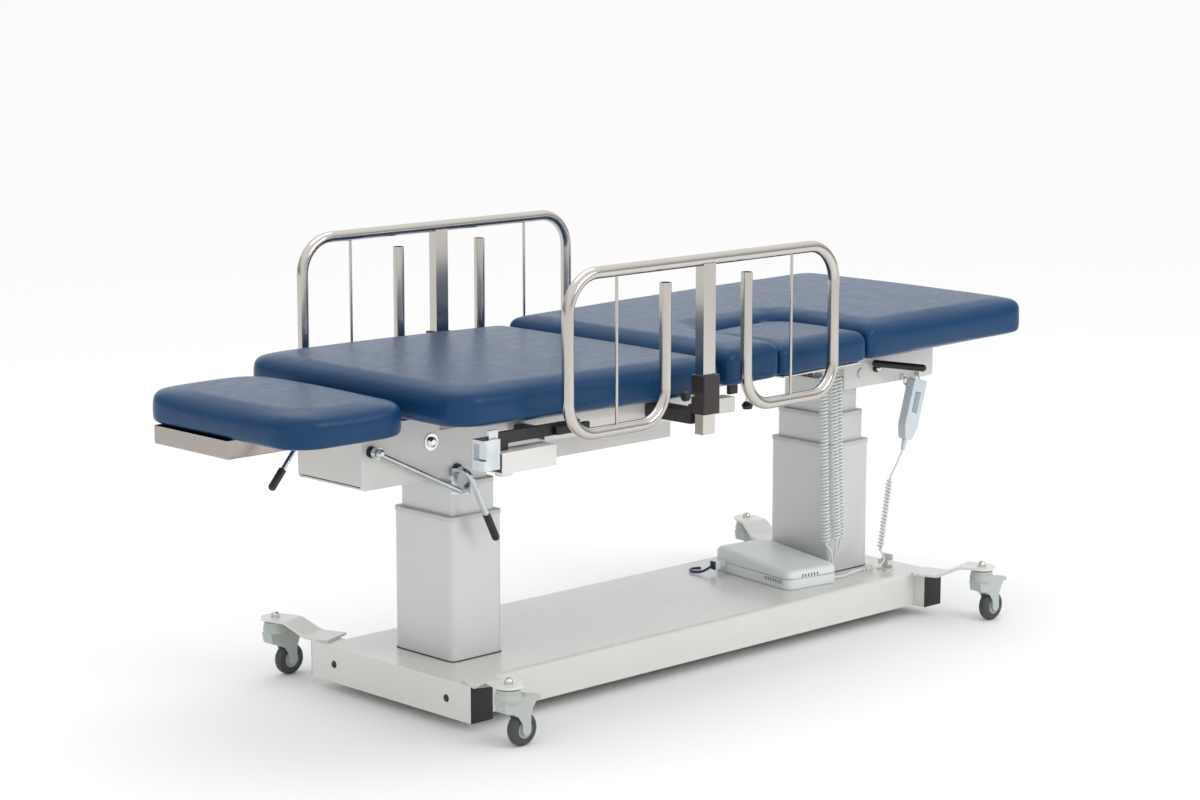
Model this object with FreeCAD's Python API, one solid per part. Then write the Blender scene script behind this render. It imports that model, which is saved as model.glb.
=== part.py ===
import FreeCAD, Part
import math
import os

V = FreeCAD.Vector
X_AXIS = V(1, 0, 0)
Y_AXIS = V(0, 1, 0)
Z_AXIS = V(0, 0, 1)

# X runs from the foot end to the head end, Y across the table, Z up from the floor.

# Fits
running_clearance = 0.05
sliding_clearance = 0.5
stage_gap = 6.6
touch_gap = 0.3

# Base frame
ground_clearance = 26.0
crossmember_height = 85.0
crossmember_width = 63.5
crossmember_length = 560.0
crossmember_wall = 3.0
foot_crossmember_x = -636.0
head_crossmember_x = 902.0
base_beam_width = 50.0
base_beam_height = 60.0
base_beam_y = 150.0
tray_half_width = 245.0
tray_thickness = 2.0
tray_edge_radius = 14.0
end_cap_depth = 8.0
plug_radius = 9.0
plug_spacing = 396.0
plug_drop = 42.0

# Casters
wheel_diameter = 75.0
wheel_width = 25.0
hub_radius = 20.0
hub_recess = 3.0
tyre_shoulder = 10.0
axle_radius = 4.0
caster_trail = 38.0
caster_y = 410.0
caster_splay = 37.0
arm_thickness = 6.0
arm_rise = 28.0
arm_end_radius = 34.0
arm_root_width = 83.0
arm_length = 170.0
cap_nut_radius = 10.0
fork_cheek_gap = 2.0
fork_cheek_thickness = 3.5
swivel_ring_radius = 30.0
brake_pedal_length = 42.0
brake_pin_radius = 2.5

# Telescopic columns
foot_column_x = -488.5
head_column_x = 777.2
column_x_size = 152.4
column_y_size = 203.2
column_corner = 14.0
column_wall = 4.4
outer_stage_height = 332.0
middle_stage_height = 320.0
middle_stage_rise = 75.0
inner_stage_height = 330.0
inner_stage_rise = 82.0
collar_height = 10.0
collar_lip = 2.0

# Main frame
frame_plate = 4.0
yoke_half_width = 111.0
foot_yoke_end_x = -829.0
frame_bottom_z = 544.0
beam_top_z = 686.0
beam_height = 34.0
beam_width = 30.0
beam_outer_y = 74.0
beam_foot_x = -700.0
side_plate_head_x = 119.0
side_plate_top_z = 652.0
yoke_rise_x = -605.0
head_yoke_half_width = 135.0
head_yoke_foot_x = 716.0
head_yoke_head_x = 1060.0
head_yoke_bottom_z = 590.0
foot_pivot_x = -631.0
foot_pivot_z = 629.0
pivot_radius = 8.0
pivot_slot_length = 30.0
pivot_washer_radius = 19.0
pivot_head_radius = 12.0
head_pivot_z = 625.0
head_shaft_radius = 12.0
ear_radius = 15.0
bracket_plate = 6.0

# Pads
pad_width = 762.0
joint_x = 26.0
pad_joint_gap = 8.0
seat_foot_x = -782.0
seat_bottom_at_joint = 695.0
seat_thickness = 82.0
seat_slope = 0.8
seat_corner = 70.0
back_head_x = 1137.5
back_bottom_at_joint = 703.0
back_thickness = 90.0
back_slope = 0.9
back_corner = 45.0
joint_corner = 18.0
top_edge_radius = 26.0
bottom_edge_radius = 8.0
notch_foot_x = 214.0
notch_head_x = 528.0
notch_inner_y = -76.0
notch_corner = 70.0
window_gap = 3.0
window_step = 12.0
foot_pad_foot_x = -1138.0
foot_pad_head_x = -809.0
foot_pad_width = 556.0
foot_pad_bottom = 687.0
foot_pad_thickness = 76.0
foot_pad_corner = 80.0

# Section hinge between seat and back
hinge_depth = 12.0
hinge_pin_radius = 2.0
hinge_knuckle_radius = 3.6
hinge_leaf = 2.2
hinge_half_length = 330.0

# Seat deck and its side tubes
deck_half_width = 290.0
deck_thickness = 2.0
deck_flange = 36.0
deck_foot_x = -560.0
side_tube_outer_y = 280.0
side_tube_width = 38.0
side_tube_height = 36.0
side_tube_foot_x = -442.0
side_tube_head_x = 166.0
cross_tube_size = 28.0

# Back frame
back_plate_thickness = 3.0
back_plate_inset = 81.0
back_rib_height = 9.0
back_rib_width = 30.0
back_flange = 10.0
latch_x = 112.0
latch_length = 28.0
latch_height = 30.0
latch_thickness = 12.0
catch_x = 385.0
catch_length = 26.0
catch_height = 22.0

# Foot section
foot_shaft_x = -802.0
foot_shaft_z = 629.0
foot_shaft_radius = 8.0
foot_deck_thickness = 4.0
foot_deck_half_width = 200.0
foot_deck_inset = 40.0
slide_rod_y = 85.0
slide_rod_z = 668.0
slide_rod_radius = 9.0
slide_rod_end_x = -505.0
slide_bar_x = -885.0
slide_guide_x = -690.0
slide_guide_thickness = 8.0
pan_near_y = -45.0
pan_far_y = 222.0
pan_depth = 41.0
pan_head_x = -905.0
pan_wall = 1.5
rod_y = -133.0
rod_radius = 6.0
rod_tip_x = -566.0
rod_tip_z = 513.0
foot_lever_x = -1000.0
foot_lever_y = -112.0
foot_lever_rod_radius = 5.0
foot_lever_reach = 46.0
foot_lever_fall = 50.0
foot_grip_length = 44.0
grip_radius = 8.5

# Hook lever
hook_shaft_x = -557.0
hook_shaft_z = 559.0
hook_shaft_radius = 7.0
lever_y = -152.0
lever_bend_radius = 24.0
lever_reach_x = -505.0
lever_reach_z = 453.0
lever_grip_length = 62.0
hook_plate_drop = 56.0
hook_plate_width = 34.0
hook_plate_thickness = 4.0
hook_flange = 20.0

# Side rails
rail_plane_y = 456.0
rail_center_x = -115.0
rail_half_length = 424.0
rail_tube_radius = 13.5
rail_tube_wall = 1.6
rail_top_z = 1022.0
rail_bottom_z = 673.0
rail_top_bend = 85.0
rail_bottom_bend = 75.0
rail_inner_offset = 130.0
rail_inner_drop = 40.0
rail_rod_offset = 279.0
rail_rod_radius = 3.5
post_x = -118.0
post_x_size = 38.0
post_y_size = 25.4
post_bottom_z = 628.0
block_x_size = 51.0
block_outer_y = 478.0
block_inner_y = 436.0
block_bottom_z = 675.0
block_top_z = 763.0
clamp_arm_bottom_z = 662.0
clamp_arm_height = 28.0
knob_z = 720.0
knob_stem_radius = 5.0
knob_stem_length = 30.0
knob_radius = 11.0
knob_thickness = 14.0
knob_chamfer = 2.0
rail_bore_depth = 60.0

# Stirrup sockets and accessory rails under the seat's long edges
socket_foot_x = -677.0
socket_head_x = -520.0
socket_outer_y = 400.0
socket_width = 50.0
socket_bottom_z = 603.0
socket_height = 46.0
socket_wall = 3.0
socket_plug_depth = 8.0
socket_clamp_length = 66.0
accessory_rail_outer_y = 378.0
accessory_rail_thickness = 10.0
accessory_rail_bottom_z = 664.0
accessory_rail_height = 26.0
accessory_rail_head_x = -430.0
hand_loop_length = 100.0
hand_loop_depth = 14.0
hand_loop_wall = 4.0

# Head lever
head_lever_x = 833.0
head_lever_z = 632.0
head_lever_grip_length = 120.0
head_lever_grip_radius = 9.0
head_lever_angle = -44.0

# Window release knob
window_knob_x = 196.0
window_knob_inset = 12.0
window_knob_z = 630.0
window_knob_radius = 14.0

# Control box, its inlet and the cord clip
box_x = 590.0
box_y = -22.0
box_length = 300.0
box_width = 164.0
box_turn = -8.0
box_base_height = 26.0
box_lid_height = 40.0
box_corner = 22.0
box_wall = 3.0
gland_radius = 11.0
gland_length = 16.0
connector_size = 22.0
clip_x = 846.0
clip_y = -168.0
clip_width = 34.0
clip_height = 40.0

# Handset
handset_x = 944.0
handset_y = -164.0
handset_z = 517.0
handset_length = 158.0
handset_width = 50.0
handset_thickness = 24.0
handset_lean = 17.0
hook_wire_radius = 2.5
hook_width = 60.0
hook_drop = 22.0
hook_start_z = 600.0
hook_plane_y = -146.0

# Cords
cord_bracket_x = 660.0
cord_bracket_y = -164.0
curl_radius = 11.0
handset_curl_radius = 9.5
lead_radius = 2.6
mains_radius = 3.2

# Levels and sizes worked out from the values above
base_top = ground_clearance + crossmember_height
outer_top = base_top + outer_stage_height
middle_top = outer_top + middle_stage_rise
inner_top = middle_top + inner_stage_rise
stage_step = column_wall + stage_gap
wheel_radius = wheel_diameter / 2
arm_low_z = base_top
arm_high_z = base_top + arm_rise
column_xs = {"foot": foot_column_x, "head": head_column_x}
crossmember_xs = {"foot": foot_crossmember_x, "head": head_crossmember_x}
hinge_x = joint_x
rail_inner_top_z = rail_top_z - rail_inner_drop
back_plate_half_width = pad_width / 2 - back_plate_inset
window_knob_y = -(back_plate_half_width - window_knob_inset)
hinge_z = seat_bottom_at_joint + seat_thickness - hinge_depth
plate_inner_y = yoke_half_width - frame_plate


def box(x0, x1, y0, y1, z0, z1):
    return Part.makeBox(x1 - x0, y1 - y0, z1 - z0, V(x0, y0, z0))


def rod(start, end, radius):
    return Part.makeCylinder(radius, (end - start).Length, start, end - start)


def prism(points, depth):
    """A straight-sided solid: the closed polygon of points, pushed along depth."""
    face = Part.Face(Part.makePolygon(points + [points[0]]))
    return face.extrude(depth)


def rounded_block(x0, x1, y0, y1, z0, z1, radius):
    """A box whose four upright edges are rounded."""
    block = box(x0, x1, y0, y1, z0, z1)
    return block.makeFillet(radius, upright_edges(block))


def upright_edges(shape):
    return [e for e in shape.Edges if is_upright(e)]


def is_upright(edge):
    ends = [v.Point for v in edge.Vertexes]
    return len(ends) == 2 and abs(ends[0].x - ends[1].x) < 1e-6 and abs(ends[0].y - ends[1].y) < 1e-6


def edges_at_height(shape, z):
    return [e for e in shape.Edges if all(abs(v.Point.z - z) < 1e-6 for v in e.Vertexes)]


def hollow_stage(x, x_size, y_size, z0, z1, wall, corner):
    outer = rounded_block(x - x_size / 2, x + x_size / 2, -y_size / 2, y_size / 2, z0, z1, corner)
    inner = rounded_block(
        x - x_size / 2 + wall, x + x_size / 2 - wall, wall - y_size / 2, y_size / 2 - wall, z0, z1, corner - wall
    )
    return outer.cut(inner)


def rect_tube(x0, x1, y0, y1, z0, z1, wall, along):
    """A rectangular tube, open at both ends along X or Y."""
    outer = box(x0, x1, y0, y1, z0, z1)
    if along == "x":
        return outer.cut(box(x0, x1, y0 + wall, y1 - wall, z0 + wall, z1 - wall))
    return outer.cut(box(x0 + wall, x1 - wall, y0, y1, z0 + wall, z1 - wall))


def bent_path(points, radii):
    """Straight runs through the points, joined by tangent arcs of the given radii."""
    edges = []
    here = points[0]
    for before, corner, after, radius in zip(points, points[1:], points[2:], radii):
        inward = (before - corner).normalize()
        onward = (after - corner).normalize()
        half = inward.getAngle(onward) / 2
        reach = radius / math.tan(half)
        start = corner + inward * reach
        end = corner + onward * reach
        toward_middle = (inward + onward).normalize()
        middle = corner + toward_middle * (radius / math.sin(half) - radius)
        if (start - here).Length > 1e-6:
            edges.append(Part.LineSegment(here, start).toShape())
        edges.append(Part.Arc(start, middle, end).toShape())
        here = end
    edges.append(Part.LineSegment(here, points[-1]).toShape())
    return Part.Wire(edges)


def round_tube(path, radius):
    first = path.Edges[0]
    start = first.valueAt(first.FirstParameter)
    direction = first.tangentAt(first.FirstParameter)
    if (start - path.Vertexes[0].Point).Length > 1e-6:
        start = path.Vertexes[0].Point
    profile = Part.Wire(Part.Circle(start, direction, radius).toShape())
    return path.makePipeShell([profile], True, False)


def mirrored_y(shape):
    return shape.mirror(V(0, 0, 0), Y_AXIS)


def both_sides(shape):
    """The near piece and its mirror image on the far side."""
    return Part.makeCompound([shape, mirrored_y(shape)])


def sloped(shape, degrees):
    """Seat and back pieces are drawn level and turned about the section hinge."""
    turned = shape.copy()
    turned.rotate(V(hinge_x, 0, hinge_z), Y_AXIS, degrees)
    return turned


# Base


def crossmember(x):
    half = crossmember_width / 2
    return rect_tube(
        x - half, x + half, -crossmember_length / 2, crossmember_length / 2,
        ground_clearance, base_top, crossmember_wall, "y",
    )


def plug_places():
    places = []
    for name, x in crossmember_xs.items():
        outward = -1 if name == "foot" else 1
        for side in (-1, 1):
            face_x = x + outward * crossmember_width / 2
            places.append((V(face_x, side * plug_spacing / 2, base_top - plug_drop), V(outward, 0, 0)))
    return places


def base_frame():
    frame = crossmember(foot_crossmember_x).fuse(crossmember(head_crossmember_x))
    inner_foot = foot_crossmember_x + crossmember_width / 2
    inner_head = head_crossmember_x - crossmember_width / 2
    for side in (-1, 1):
        y = side * base_beam_y
        beam = rect_tube(
            inner_foot, inner_head, y - base_beam_width / 2, y + base_beam_width / 2,
            ground_clearance, ground_clearance + base_beam_height, crossmember_wall, "x",
        )
        frame = frame.fuse(beam)
    for place, outward in plug_places():
        frame = frame.cut(Part.makeCylinder(plug_radius - 2, crossmember_wall, place, outward * -1))
    return frame


def hole_plugs():
    plugs = []
    for place, outward in plug_places():
        head = Part.makeCone(plug_radius, plug_radius - 2, 2, place, outward)
        stem = Part.makeCylinder(plug_radius - 2 - touch_gap, crossmember_wall + 1, place, outward * -1)
        plugs.append(head.fuse(stem))
    return Part.makeCompound(plugs)


def end_caps():
    caps = []
    lip = 1.5
    for x in crossmember_xs.values():
        half = crossmember_width / 2
        for side in (-1, 1):
            end_y = side * crossmember_length / 2
            outer_y = end_y + side * 2.5
            inner_y = end_y - side * end_cap_depth
            head = box(
                x - half, x + half, min(end_y, outer_y), max(end_y, outer_y), ground_clearance, base_top
            )
            head = head.makeChamfer(1.0, [e for e in head.Edges if all(abs(v.Y - outer_y) < 1e-6 for v in e.Vertexes)])
            inside = crossmember_wall + lip - 1.2
            plug = box(
                x - half + inside, x + half - inside, min(end_y, inner_y), max(end_y, inner_y),
                ground_clearance + inside, base_top - inside,
            )
            caps.append(head.fuse(plug))
    return Part.makeCompound(caps)


def base_tray():
    """Folded cover between the crossmembers: a flat top with two rounded long edges and hanging sides."""
    x0 = foot_crossmember_x + crossmember_width / 2 + touch_gap
    x1 = head_crossmember_x - crossmember_width / 2 - touch_gap
    outer = box(x0, x1, -tray_half_width, tray_half_width, ground_clearance + 2, base_top)
    long_edges = [
        e for e in outer.Edges
        if all(abs(v.Z - base_top) < 1e-6 for v in e.Vertexes)
        and abs(e.Vertexes[0].Y - e.Vertexes[1].Y) < 1e-6
    ]
    outer = outer.makeFillet(tray_edge_radius, long_edges)
    inner_half = tray_half_width - tray_thickness
    inner_top = base_top - tray_thickness
    inner = box(x0, x1, -inner_half, inner_half, ground_clearance, inner_top)
    inner_edges = [
        e for e in inner.Edges
        if all(abs(v.Z - inner_top) < 1e-6 for v in e.Vertexes)
        and abs(e.Vertexes[0].Y - e.Vertexes[1].Y) < 1e-6
    ]
    inner = inner.makeFillet(tray_edge_radius - tray_thickness, inner_edges)
    return outer.cut(inner)


def caster_places():
    places = []
    for end, x in crossmember_xs.items():
        outward = -1 if end == "foot" else 1
        for side_name, side in (("near", -1), ("far", 1)):
            places.append((end + "_" + side_name, x + outward * caster_splay, side * caster_y, outward, side))
    return places


def caster_arm(stem_x, stem_y, outward, side):
    """Flat bar with a round end over the caster, bent down in an S onto the crossmember."""
    low = arm_low_z
    high = arm_high_z
    t = arm_thickness
    bend_start = arm_end_radius + 12
    bend_end = bend_start + 58
    reach = arm_length
    profile = [
        V(-arm_end_radius, 0, high), V(bend_start, 0, high), V(bend_end, 0, low),
        V(reach, 0, low), V(reach, 0, low + t), V(bend_end + 2, 0, low + t),
        V(bend_start + 2, 0, high + t), V(-arm_end_radius, 0, high + t),
    ]
    strip = prism([p - V(0, arm_root_width / 2, 0) for p in profile], V(0, arm_root_width, 0))
    bends = [
        e for e in strip.Edges
        if all(abs(v.X - bend_start) < 3 or abs(v.X - bend_end) < 3 for v in e.Vertexes)
        and abs(e.Vertexes[0].X - e.Vertexes[1].X) < 1e-6 and abs(e.Vertexes[0].Y - e.Vertexes[1].Y) > 1
    ]
    strip = strip.makeFillet(30.0, bends)
    round_end = Part.makeCylinder(arm_end_radius, 3 * arm_rise + t, V(0, 0, low - arm_rise))
    taper = prism(
        [
            V(0, -arm_end_radius, low - arm_rise), V(reach, -arm_root_width / 2, low - arm_rise),
            V(reach, arm_root_width / 2, low - arm_rise), V(0, arm_end_radius, low - arm_rise),
        ],
        V(0, 0, 3 * arm_rise + t),
    )
    arm = strip.common(round_end.fuse(taper))
    stem_hole = Part.makeCylinder(stem_radius() + touch_gap, 3 * t, V(0, 0, high - t))
    arm = arm.cut(stem_hole)
    toward_root = math.degrees(math.atan2(-side * math.cos(splay_angle()), -outward * math.sin(splay_angle())))
    arm.rotate(V(0, 0, 0), Z_AXIS, toward_root)
    arm.translate(V(stem_x, stem_y, 0))
    return arm


def splay_angle():
    return math.atan2(caster_splay + 20, caster_y - 250)


def stem_radius():
    return 6.0


def caster_arms():
    arms = [caster_arm(x, y, outward, side) for _, x, y, outward, side in caster_places()]
    return Part.makeCompound(arms)


def cap_nuts():
    nuts = []
    for _, x, y, _, _ in caster_places():
        z = arm_high_z + arm_thickness
        flange = Part.makeCylinder(cap_nut_radius + 2, 1.5, V(x, y, z))
        body = Part.makeCylinder(cap_nut_radius, 5, V(x, y, z + 1.5))
        dome = Part.makeSphere(cap_nut_radius, V(x, y, z + 4.5), Z_AXIS, 0, 90)
        nut = flange.fuse([body, dome])
        nut = nut.cut(Part.makeCylinder(stem_radius() + touch_gap, 8, V(x, y, z)))
        nuts.append(nut)
    return Part.makeCompound(nuts)


# Casters


def caster_fork(x, y):
    """Stem, stepped swivel rings and two cheeks that trail back to the axle."""
    top = arm_high_z
    axle = V(x + caster_trail, y, wheel_radius)
    stem = Part.makeCylinder(stem_radius(), 21, V(x, y, top - 8))
    cap = Part.makeCylinder(swivel_ring_radius - 9, 6, V(x, y, top - 6 - touch_gap))
    ring_a = Part.makeCylinder(swivel_ring_radius - 3, 9, V(x, y, top - 14))
    ring_b = Part.makeCone(swivel_ring_radius, swivel_ring_radius - 2, 11, V(x, y, top - 24))
    ring_c = Part.makeCylinder(swivel_ring_radius - 1, 6, V(x, y, top - 30))
    crown_low = 2 * wheel_radius + 5
    crown_half = wheel_width / 2 + fork_cheek_gap + fork_cheek_thickness
    side_view = Part.makePolygon(
        [
            V(x - 22, 0, crown_low + 4), V(x - 27, 0, top - 30), V(x + 46, 0, top - 24),
            V(x + 66, 0, top - 30), V(x + 64, 0, top - 42), V(x + 56, 0, top - 54), V(x + 50, 0, top - 70),
            V(axle.x + 11, 0, axle.z), V(axle.x - 10, 0, axle.z), V(x + 25, 0, crown_low - 26),
            V(x + 16, 0, crown_low - 12), V(x + 1, 0, crown_low - 1), V(x - 22, 0, crown_low + 4),
        ]
    )
    cheek_slab = Part.Face(side_view).extrude(V(0, 2 * crown_half, 0))
    cheek_slab.translate(V(0, y - crown_half, 0))
    axle_boss = rod(axle - V(0, crown_half, 0), axle + V(0, crown_half, 0), 12)
    body = cheek_slab.fuse(axle_boss)
    wheel_well_half = wheel_width / 2 + fork_cheek_gap
    well = rod(axle - V(0, wheel_well_half, 0), axle + V(0, wheel_well_half, 0), wheel_radius + 3)
    well = well.fuse(box(x + 16, x + 80, y - wheel_well_half, y + wheel_well_half, 0, crown_low - 6))
    body = body.cut(well)
    axle_pin = rod(axle - V(0, crown_half, 0), axle + V(0, crown_half, 0), axle_radius)
    pedal_slot = box(
        x + 40, x + 90, y - wheel_well_half, y + wheel_well_half, crown_low - 6, top - 10
    )
    body = body.cut(pedal_slot)
    pin = brake_pin_place(x, y)
    pin_reach = V(0, crown_half + 1, 0)
    body = body.cut(rod(pin - pin_reach, pin + pin_reach, brake_pin_radius + running_clearance))
    return body.fuse([stem, cap, ring_a, ring_b, ring_c, axle_pin])


def brake_pin_place(x, y):
    return V(x + 46, y, arm_high_z - 32)


def brake_pedal(x, y):
    """Foot pedal that hangs on its pin in the fork's slot behind the swivel."""
    top = arm_high_z
    half = wheel_width / 2 + fork_cheek_gap - 1.2
    start = x + 44
    profile = [
        V(start, 0, top - 34), V(start, 0, top - 27), V(start + brake_pedal_length, 0, top - 33),
        V(start + brake_pedal_length, 0, top - 40), V(start + 14, 0, top - 41),
    ]
    pedal = prism([p + V(0, y - half, 0) for p in profile], V(0, 2 * half, 0))
    tips = [
        e for e in pedal.Edges
        if all(abs(v.X - start - brake_pedal_length) < 1e-6 for v in e.Vertexes) and is_upright(e)
    ]
    pedal = pedal.makeFillet(5, tips)
    pin = brake_pin_place(x, y)
    reach = V(0, wheel_width / 2 + fork_cheek_gap + fork_cheek_thickness, 0)
    return pedal.fuse(rod(pin - reach, pin + reach, brake_pin_radius))


def turned_profile(center, section):
    """Solid turned about an axle along Y; section lists radius and sideways offset from center."""
    points = [center + V(radius, offset, 0) for radius, offset in section]
    face = Part.Face(Part.makePolygon(points + [points[0]]))
    return face.revolve(center, Y_AXIS, 360)


def shoulder_points(half, side):
    """Short straight steps round one shoulder of the tyre, from the tread to the side wall."""
    points = []
    for step in range(5):
        turn = math.radians(22.5 * step)
        radius = wheel_radius - tyre_shoulder + tyre_shoulder * math.cos(turn)
        offset = half - tyre_shoulder + tyre_shoulder * math.sin(turn)
        points.append((radius, side * offset))
    return points


def caster_wheel(x, y):
    """Round-shouldered tyre on a recessed hub with a boss and a raised ring."""
    axle = V(x + caster_trail, y, wheel_radius)
    half = wheel_width / 2
    rim = [(hub_radius, -half)] + shoulder_points(half, -1)[::-1] + shoulder_points(half, 1) + [(hub_radius, half)]
    tyre = turned_profile(axle, rim)
    bore = axle_radius + running_clearance
    boss = axle_radius + 5
    disc = half - hub_recess
    hub = turned_profile(
        axle,
        [
            (bore, -half - 1), (boss, -half - 1), (boss, -disc), (boss + 4, -disc), (boss + 4.5, -disc - 1.5),
            (boss + 6.5, -disc - 1.5), (boss + 7, -disc), (hub_radius, -disc), (hub_radius, disc), (boss + 7, disc),
            (boss + 6.5, disc + 1.5), (boss + 4.5, disc + 1.5), (boss + 4, disc), (boss, disc), (boss, half + 1),
            (bore, half + 1),
        ],
    )
    return Part.makeCompound([tyre, hub])


# Columns


def collar(x, x_size, y_size, top_z):
    outer = rounded_block(
        x - x_size / 2 - collar_lip, x + x_size / 2 + collar_lip, -y_size / 2 - collar_lip,
        y_size / 2 + collar_lip, top_z - collar_height, top_z, column_corner + collar_lip,
    )
    upper = edges_at_height(outer, top_z)
    outer = outer.makeFillet(1.5, upper)
    return outer


def stage_corner(level):
    return max(column_corner - level * 2, column_wall + 2)


def column_stage(x, level, z0, z1):
    """Stage 0 is the fixed outer one, stages 1 and 2 slide inside it."""
    x_size = column_x_size - 2 * level * stage_step
    y_size = column_y_size - 2 * level * stage_step
    corner = stage_corner(level)
    tube = hollow_stage(x, x_size, y_size, z0, z1, column_wall, corner)
    if level == 2:
        return tube
    trim = collar(x, x_size, y_size, z1 + 2)
    bore = rounded_block(
        x - x_size / 2, x + x_size / 2, -y_size / 2, y_size / 2, z0, z1, corner
    )
    next_x = x_size - 2 * stage_step + 2 * sliding_clearance
    next_y = y_size - 2 * stage_step + 2 * sliding_clearance
    mouth = rounded_block(
        x - next_x / 2, x + next_x / 2, -next_y / 2, next_y / 2, z1, z1 + 3,
        stage_corner(level + 1) + sliding_clearance,
    )
    trim = trim.cut(bore).cut(mouth)
    return Part.makeCompound([tube, trim])


def foot_bracket():
    """Ears that reach from the foot column's top to the pivot inside the yoke."""
    x = foot_column_x
    half_x = column_x_size / 2 - 2 * stage_step
    half_y = column_y_size / 2 - 2 * stage_step
    plate = box(x - half_x, x + half_x, -half_y, half_y, inner_top, inner_top + bracket_plate)
    ear_out = plate_inner_y - 3
    ear_in = ear_out - bracket_plate
    shelf = box(foot_pivot_x, x + half_x, -ear_out, ear_out, inner_top, inner_top + bracket_plate)
    bracket = plate.fuse(shelf)
    for side in (-1, 1):
        y0 = min(side * ear_in, side * ear_out)
        arm = prism(
            [
                V(foot_pivot_x - ear_radius, y0, foot_pivot_z), V(foot_pivot_x, y0, inner_top),
                V(x + half_x, y0, inner_top), V(x + half_x, y0, inner_top + 14),
                V(foot_pivot_x + 60, y0, inner_top + 14), V(foot_pivot_x + ear_radius, y0, foot_pivot_z),
            ],
            V(0, bracket_plate, 0),
        )
        boss = Part.makeCylinder(ear_radius, bracket_plate, V(foot_pivot_x, y0, foot_pivot_z), Y_AXIS)
        bracket = bracket.fuse([arm, boss])
    bore = Part.makeCylinder(pivot_radius, 2 * ear_out, V(foot_pivot_x, -ear_out, foot_pivot_z), Y_AXIS)
    return bracket.cut(bore)


def foot_pivot_bolts():
    """Domed bolts through the yoke's slots into the bracket's ears."""
    bolts = []
    for side in (-1, 1):
        inner_y = side * (plate_inner_y - 3 - bracket_plate - 4)
        face_y = side * (yoke_half_width + touch_gap)
        shank = rod(V(foot_pivot_x, inner_y, foot_pivot_z), V(foot_pivot_x, face_y, foot_pivot_z), pivot_radius)
        outward = V(0, side, 0)
        face = V(foot_pivot_x, face_y, foot_pivot_z)
        washer = Part.makeCylinder(pivot_washer_radius, 2, face, outward)
        head = Part.makeCylinder(pivot_head_radius, 4, face + outward * 2, outward)
        dome = Part.makeCone(pivot_head_radius, pivot_head_radius / 2, 4, face + outward * 6, outward)
        bolts.append(shank.fuse([washer, head, dome]))
    return Part.makeCompound(bolts)


def head_bracket():
    x = head_column_x
    half_x = column_x_size / 2 - 2 * stage_step
    half_y = column_y_size / 2 - 2 * stage_step
    bracket = box(x - half_x, x + half_x, -half_y, half_y, inner_top, inner_top + bracket_plate)
    for side in (-1, 1):
        y0 = side * 55 - bracket_plate / 2
        ear = prism(
            [
                V(x - 34, y0, inner_top), V(x + 34, y0, inner_top),
                V(x + ear_radius, y0, head_pivot_z), V(x - ear_radius, y0, head_pivot_z),
            ],
            V(0, bracket_plate, 0),
        )
        boss = Part.makeCylinder(ear_radius, bracket_plate, V(x, y0, head_pivot_z), Y_AXIS)
        bracket = bracket.fuse([ear, boss])
    bore = Part.makeCylinder(head_shaft_radius, 140, V(x, -70, head_pivot_z), Y_AXIS)
    return bracket.cut(bore)


def head_pivot_shaft():
    reach = head_yoke_half_width + 4
    start = V(head_column_x, -reach, head_pivot_z)
    return rod(start, start + V(0, 2 * reach, 0), head_shaft_radius)


# Main frame


def side_plate(side):
    """Foot yoke side and the shallower web behind it."""
    outer_y = side * yoke_half_width
    y0 = min(outer_y, outer_y - side * frame_plate)
    outline = prism(
        [
            V(foot_yoke_end_x, y0, frame_bottom_z), V(side_plate_head_x, y0, frame_bottom_z),
            V(side_plate_head_x, y0, side_plate_top_z), V(yoke_rise_x, y0, side_plate_top_z),
            V(yoke_rise_x, y0, beam_top_z), V(foot_yoke_end_x, y0, beam_top_z),
        ],
        V(0, frame_plate, 0),
    )
    foot_corner = [
        e for e in outline.Edges
        if all(abs(v.X - foot_yoke_end_x) < 1e-6 and abs(v.Z - frame_bottom_z) < 1e-6 for v in e.Vertexes)
    ]
    outline = outline.makeFillet(10, foot_corner)
    slot_half = pivot_slot_length / 2 - pivot_radius
    slot_radius = pivot_radius + 1.0
    slot = box(
        foot_pivot_x - slot_half, foot_pivot_x + slot_half, y0, y0 + frame_plate,
        foot_pivot_z - slot_radius, foot_pivot_z + slot_radius,
    )
    for end in (-1, 1):
        slot = slot.fuse(
            Part.makeCylinder(slot_radius, frame_plate, V(foot_pivot_x + end * slot_half, y0, foot_pivot_z), Y_AXIS)
        )
    shaft_hole = Part.makeCylinder(
        foot_shaft_radius + running_clearance, frame_plate, V(foot_shaft_x, y0, foot_shaft_z), Y_AXIS
    )
    return outline.cut(slot).cut(shaft_hole)


def bush(x, z, bore_radius, side):
    """Black bush pressed on the outside of a side plate."""
    start = V(x, side * yoke_half_width, z)
    outer = Part.makeCylinder(bore_radius + 5, 7, start, V(0, side, 0))
    return outer.cut(Part.makeCylinder(bore_radius + running_clearance, 7, start, V(0, side, 0)))


def shaft_bushes():
    pieces = [bush(foot_shaft_x, foot_shaft_z, foot_shaft_radius, side) for side in (-1, 1)]
    pieces.append(bush(hook_shaft_x, hook_shaft_z, hook_shaft_radius, -1))
    return Part.makeCompound(pieces)


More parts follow.
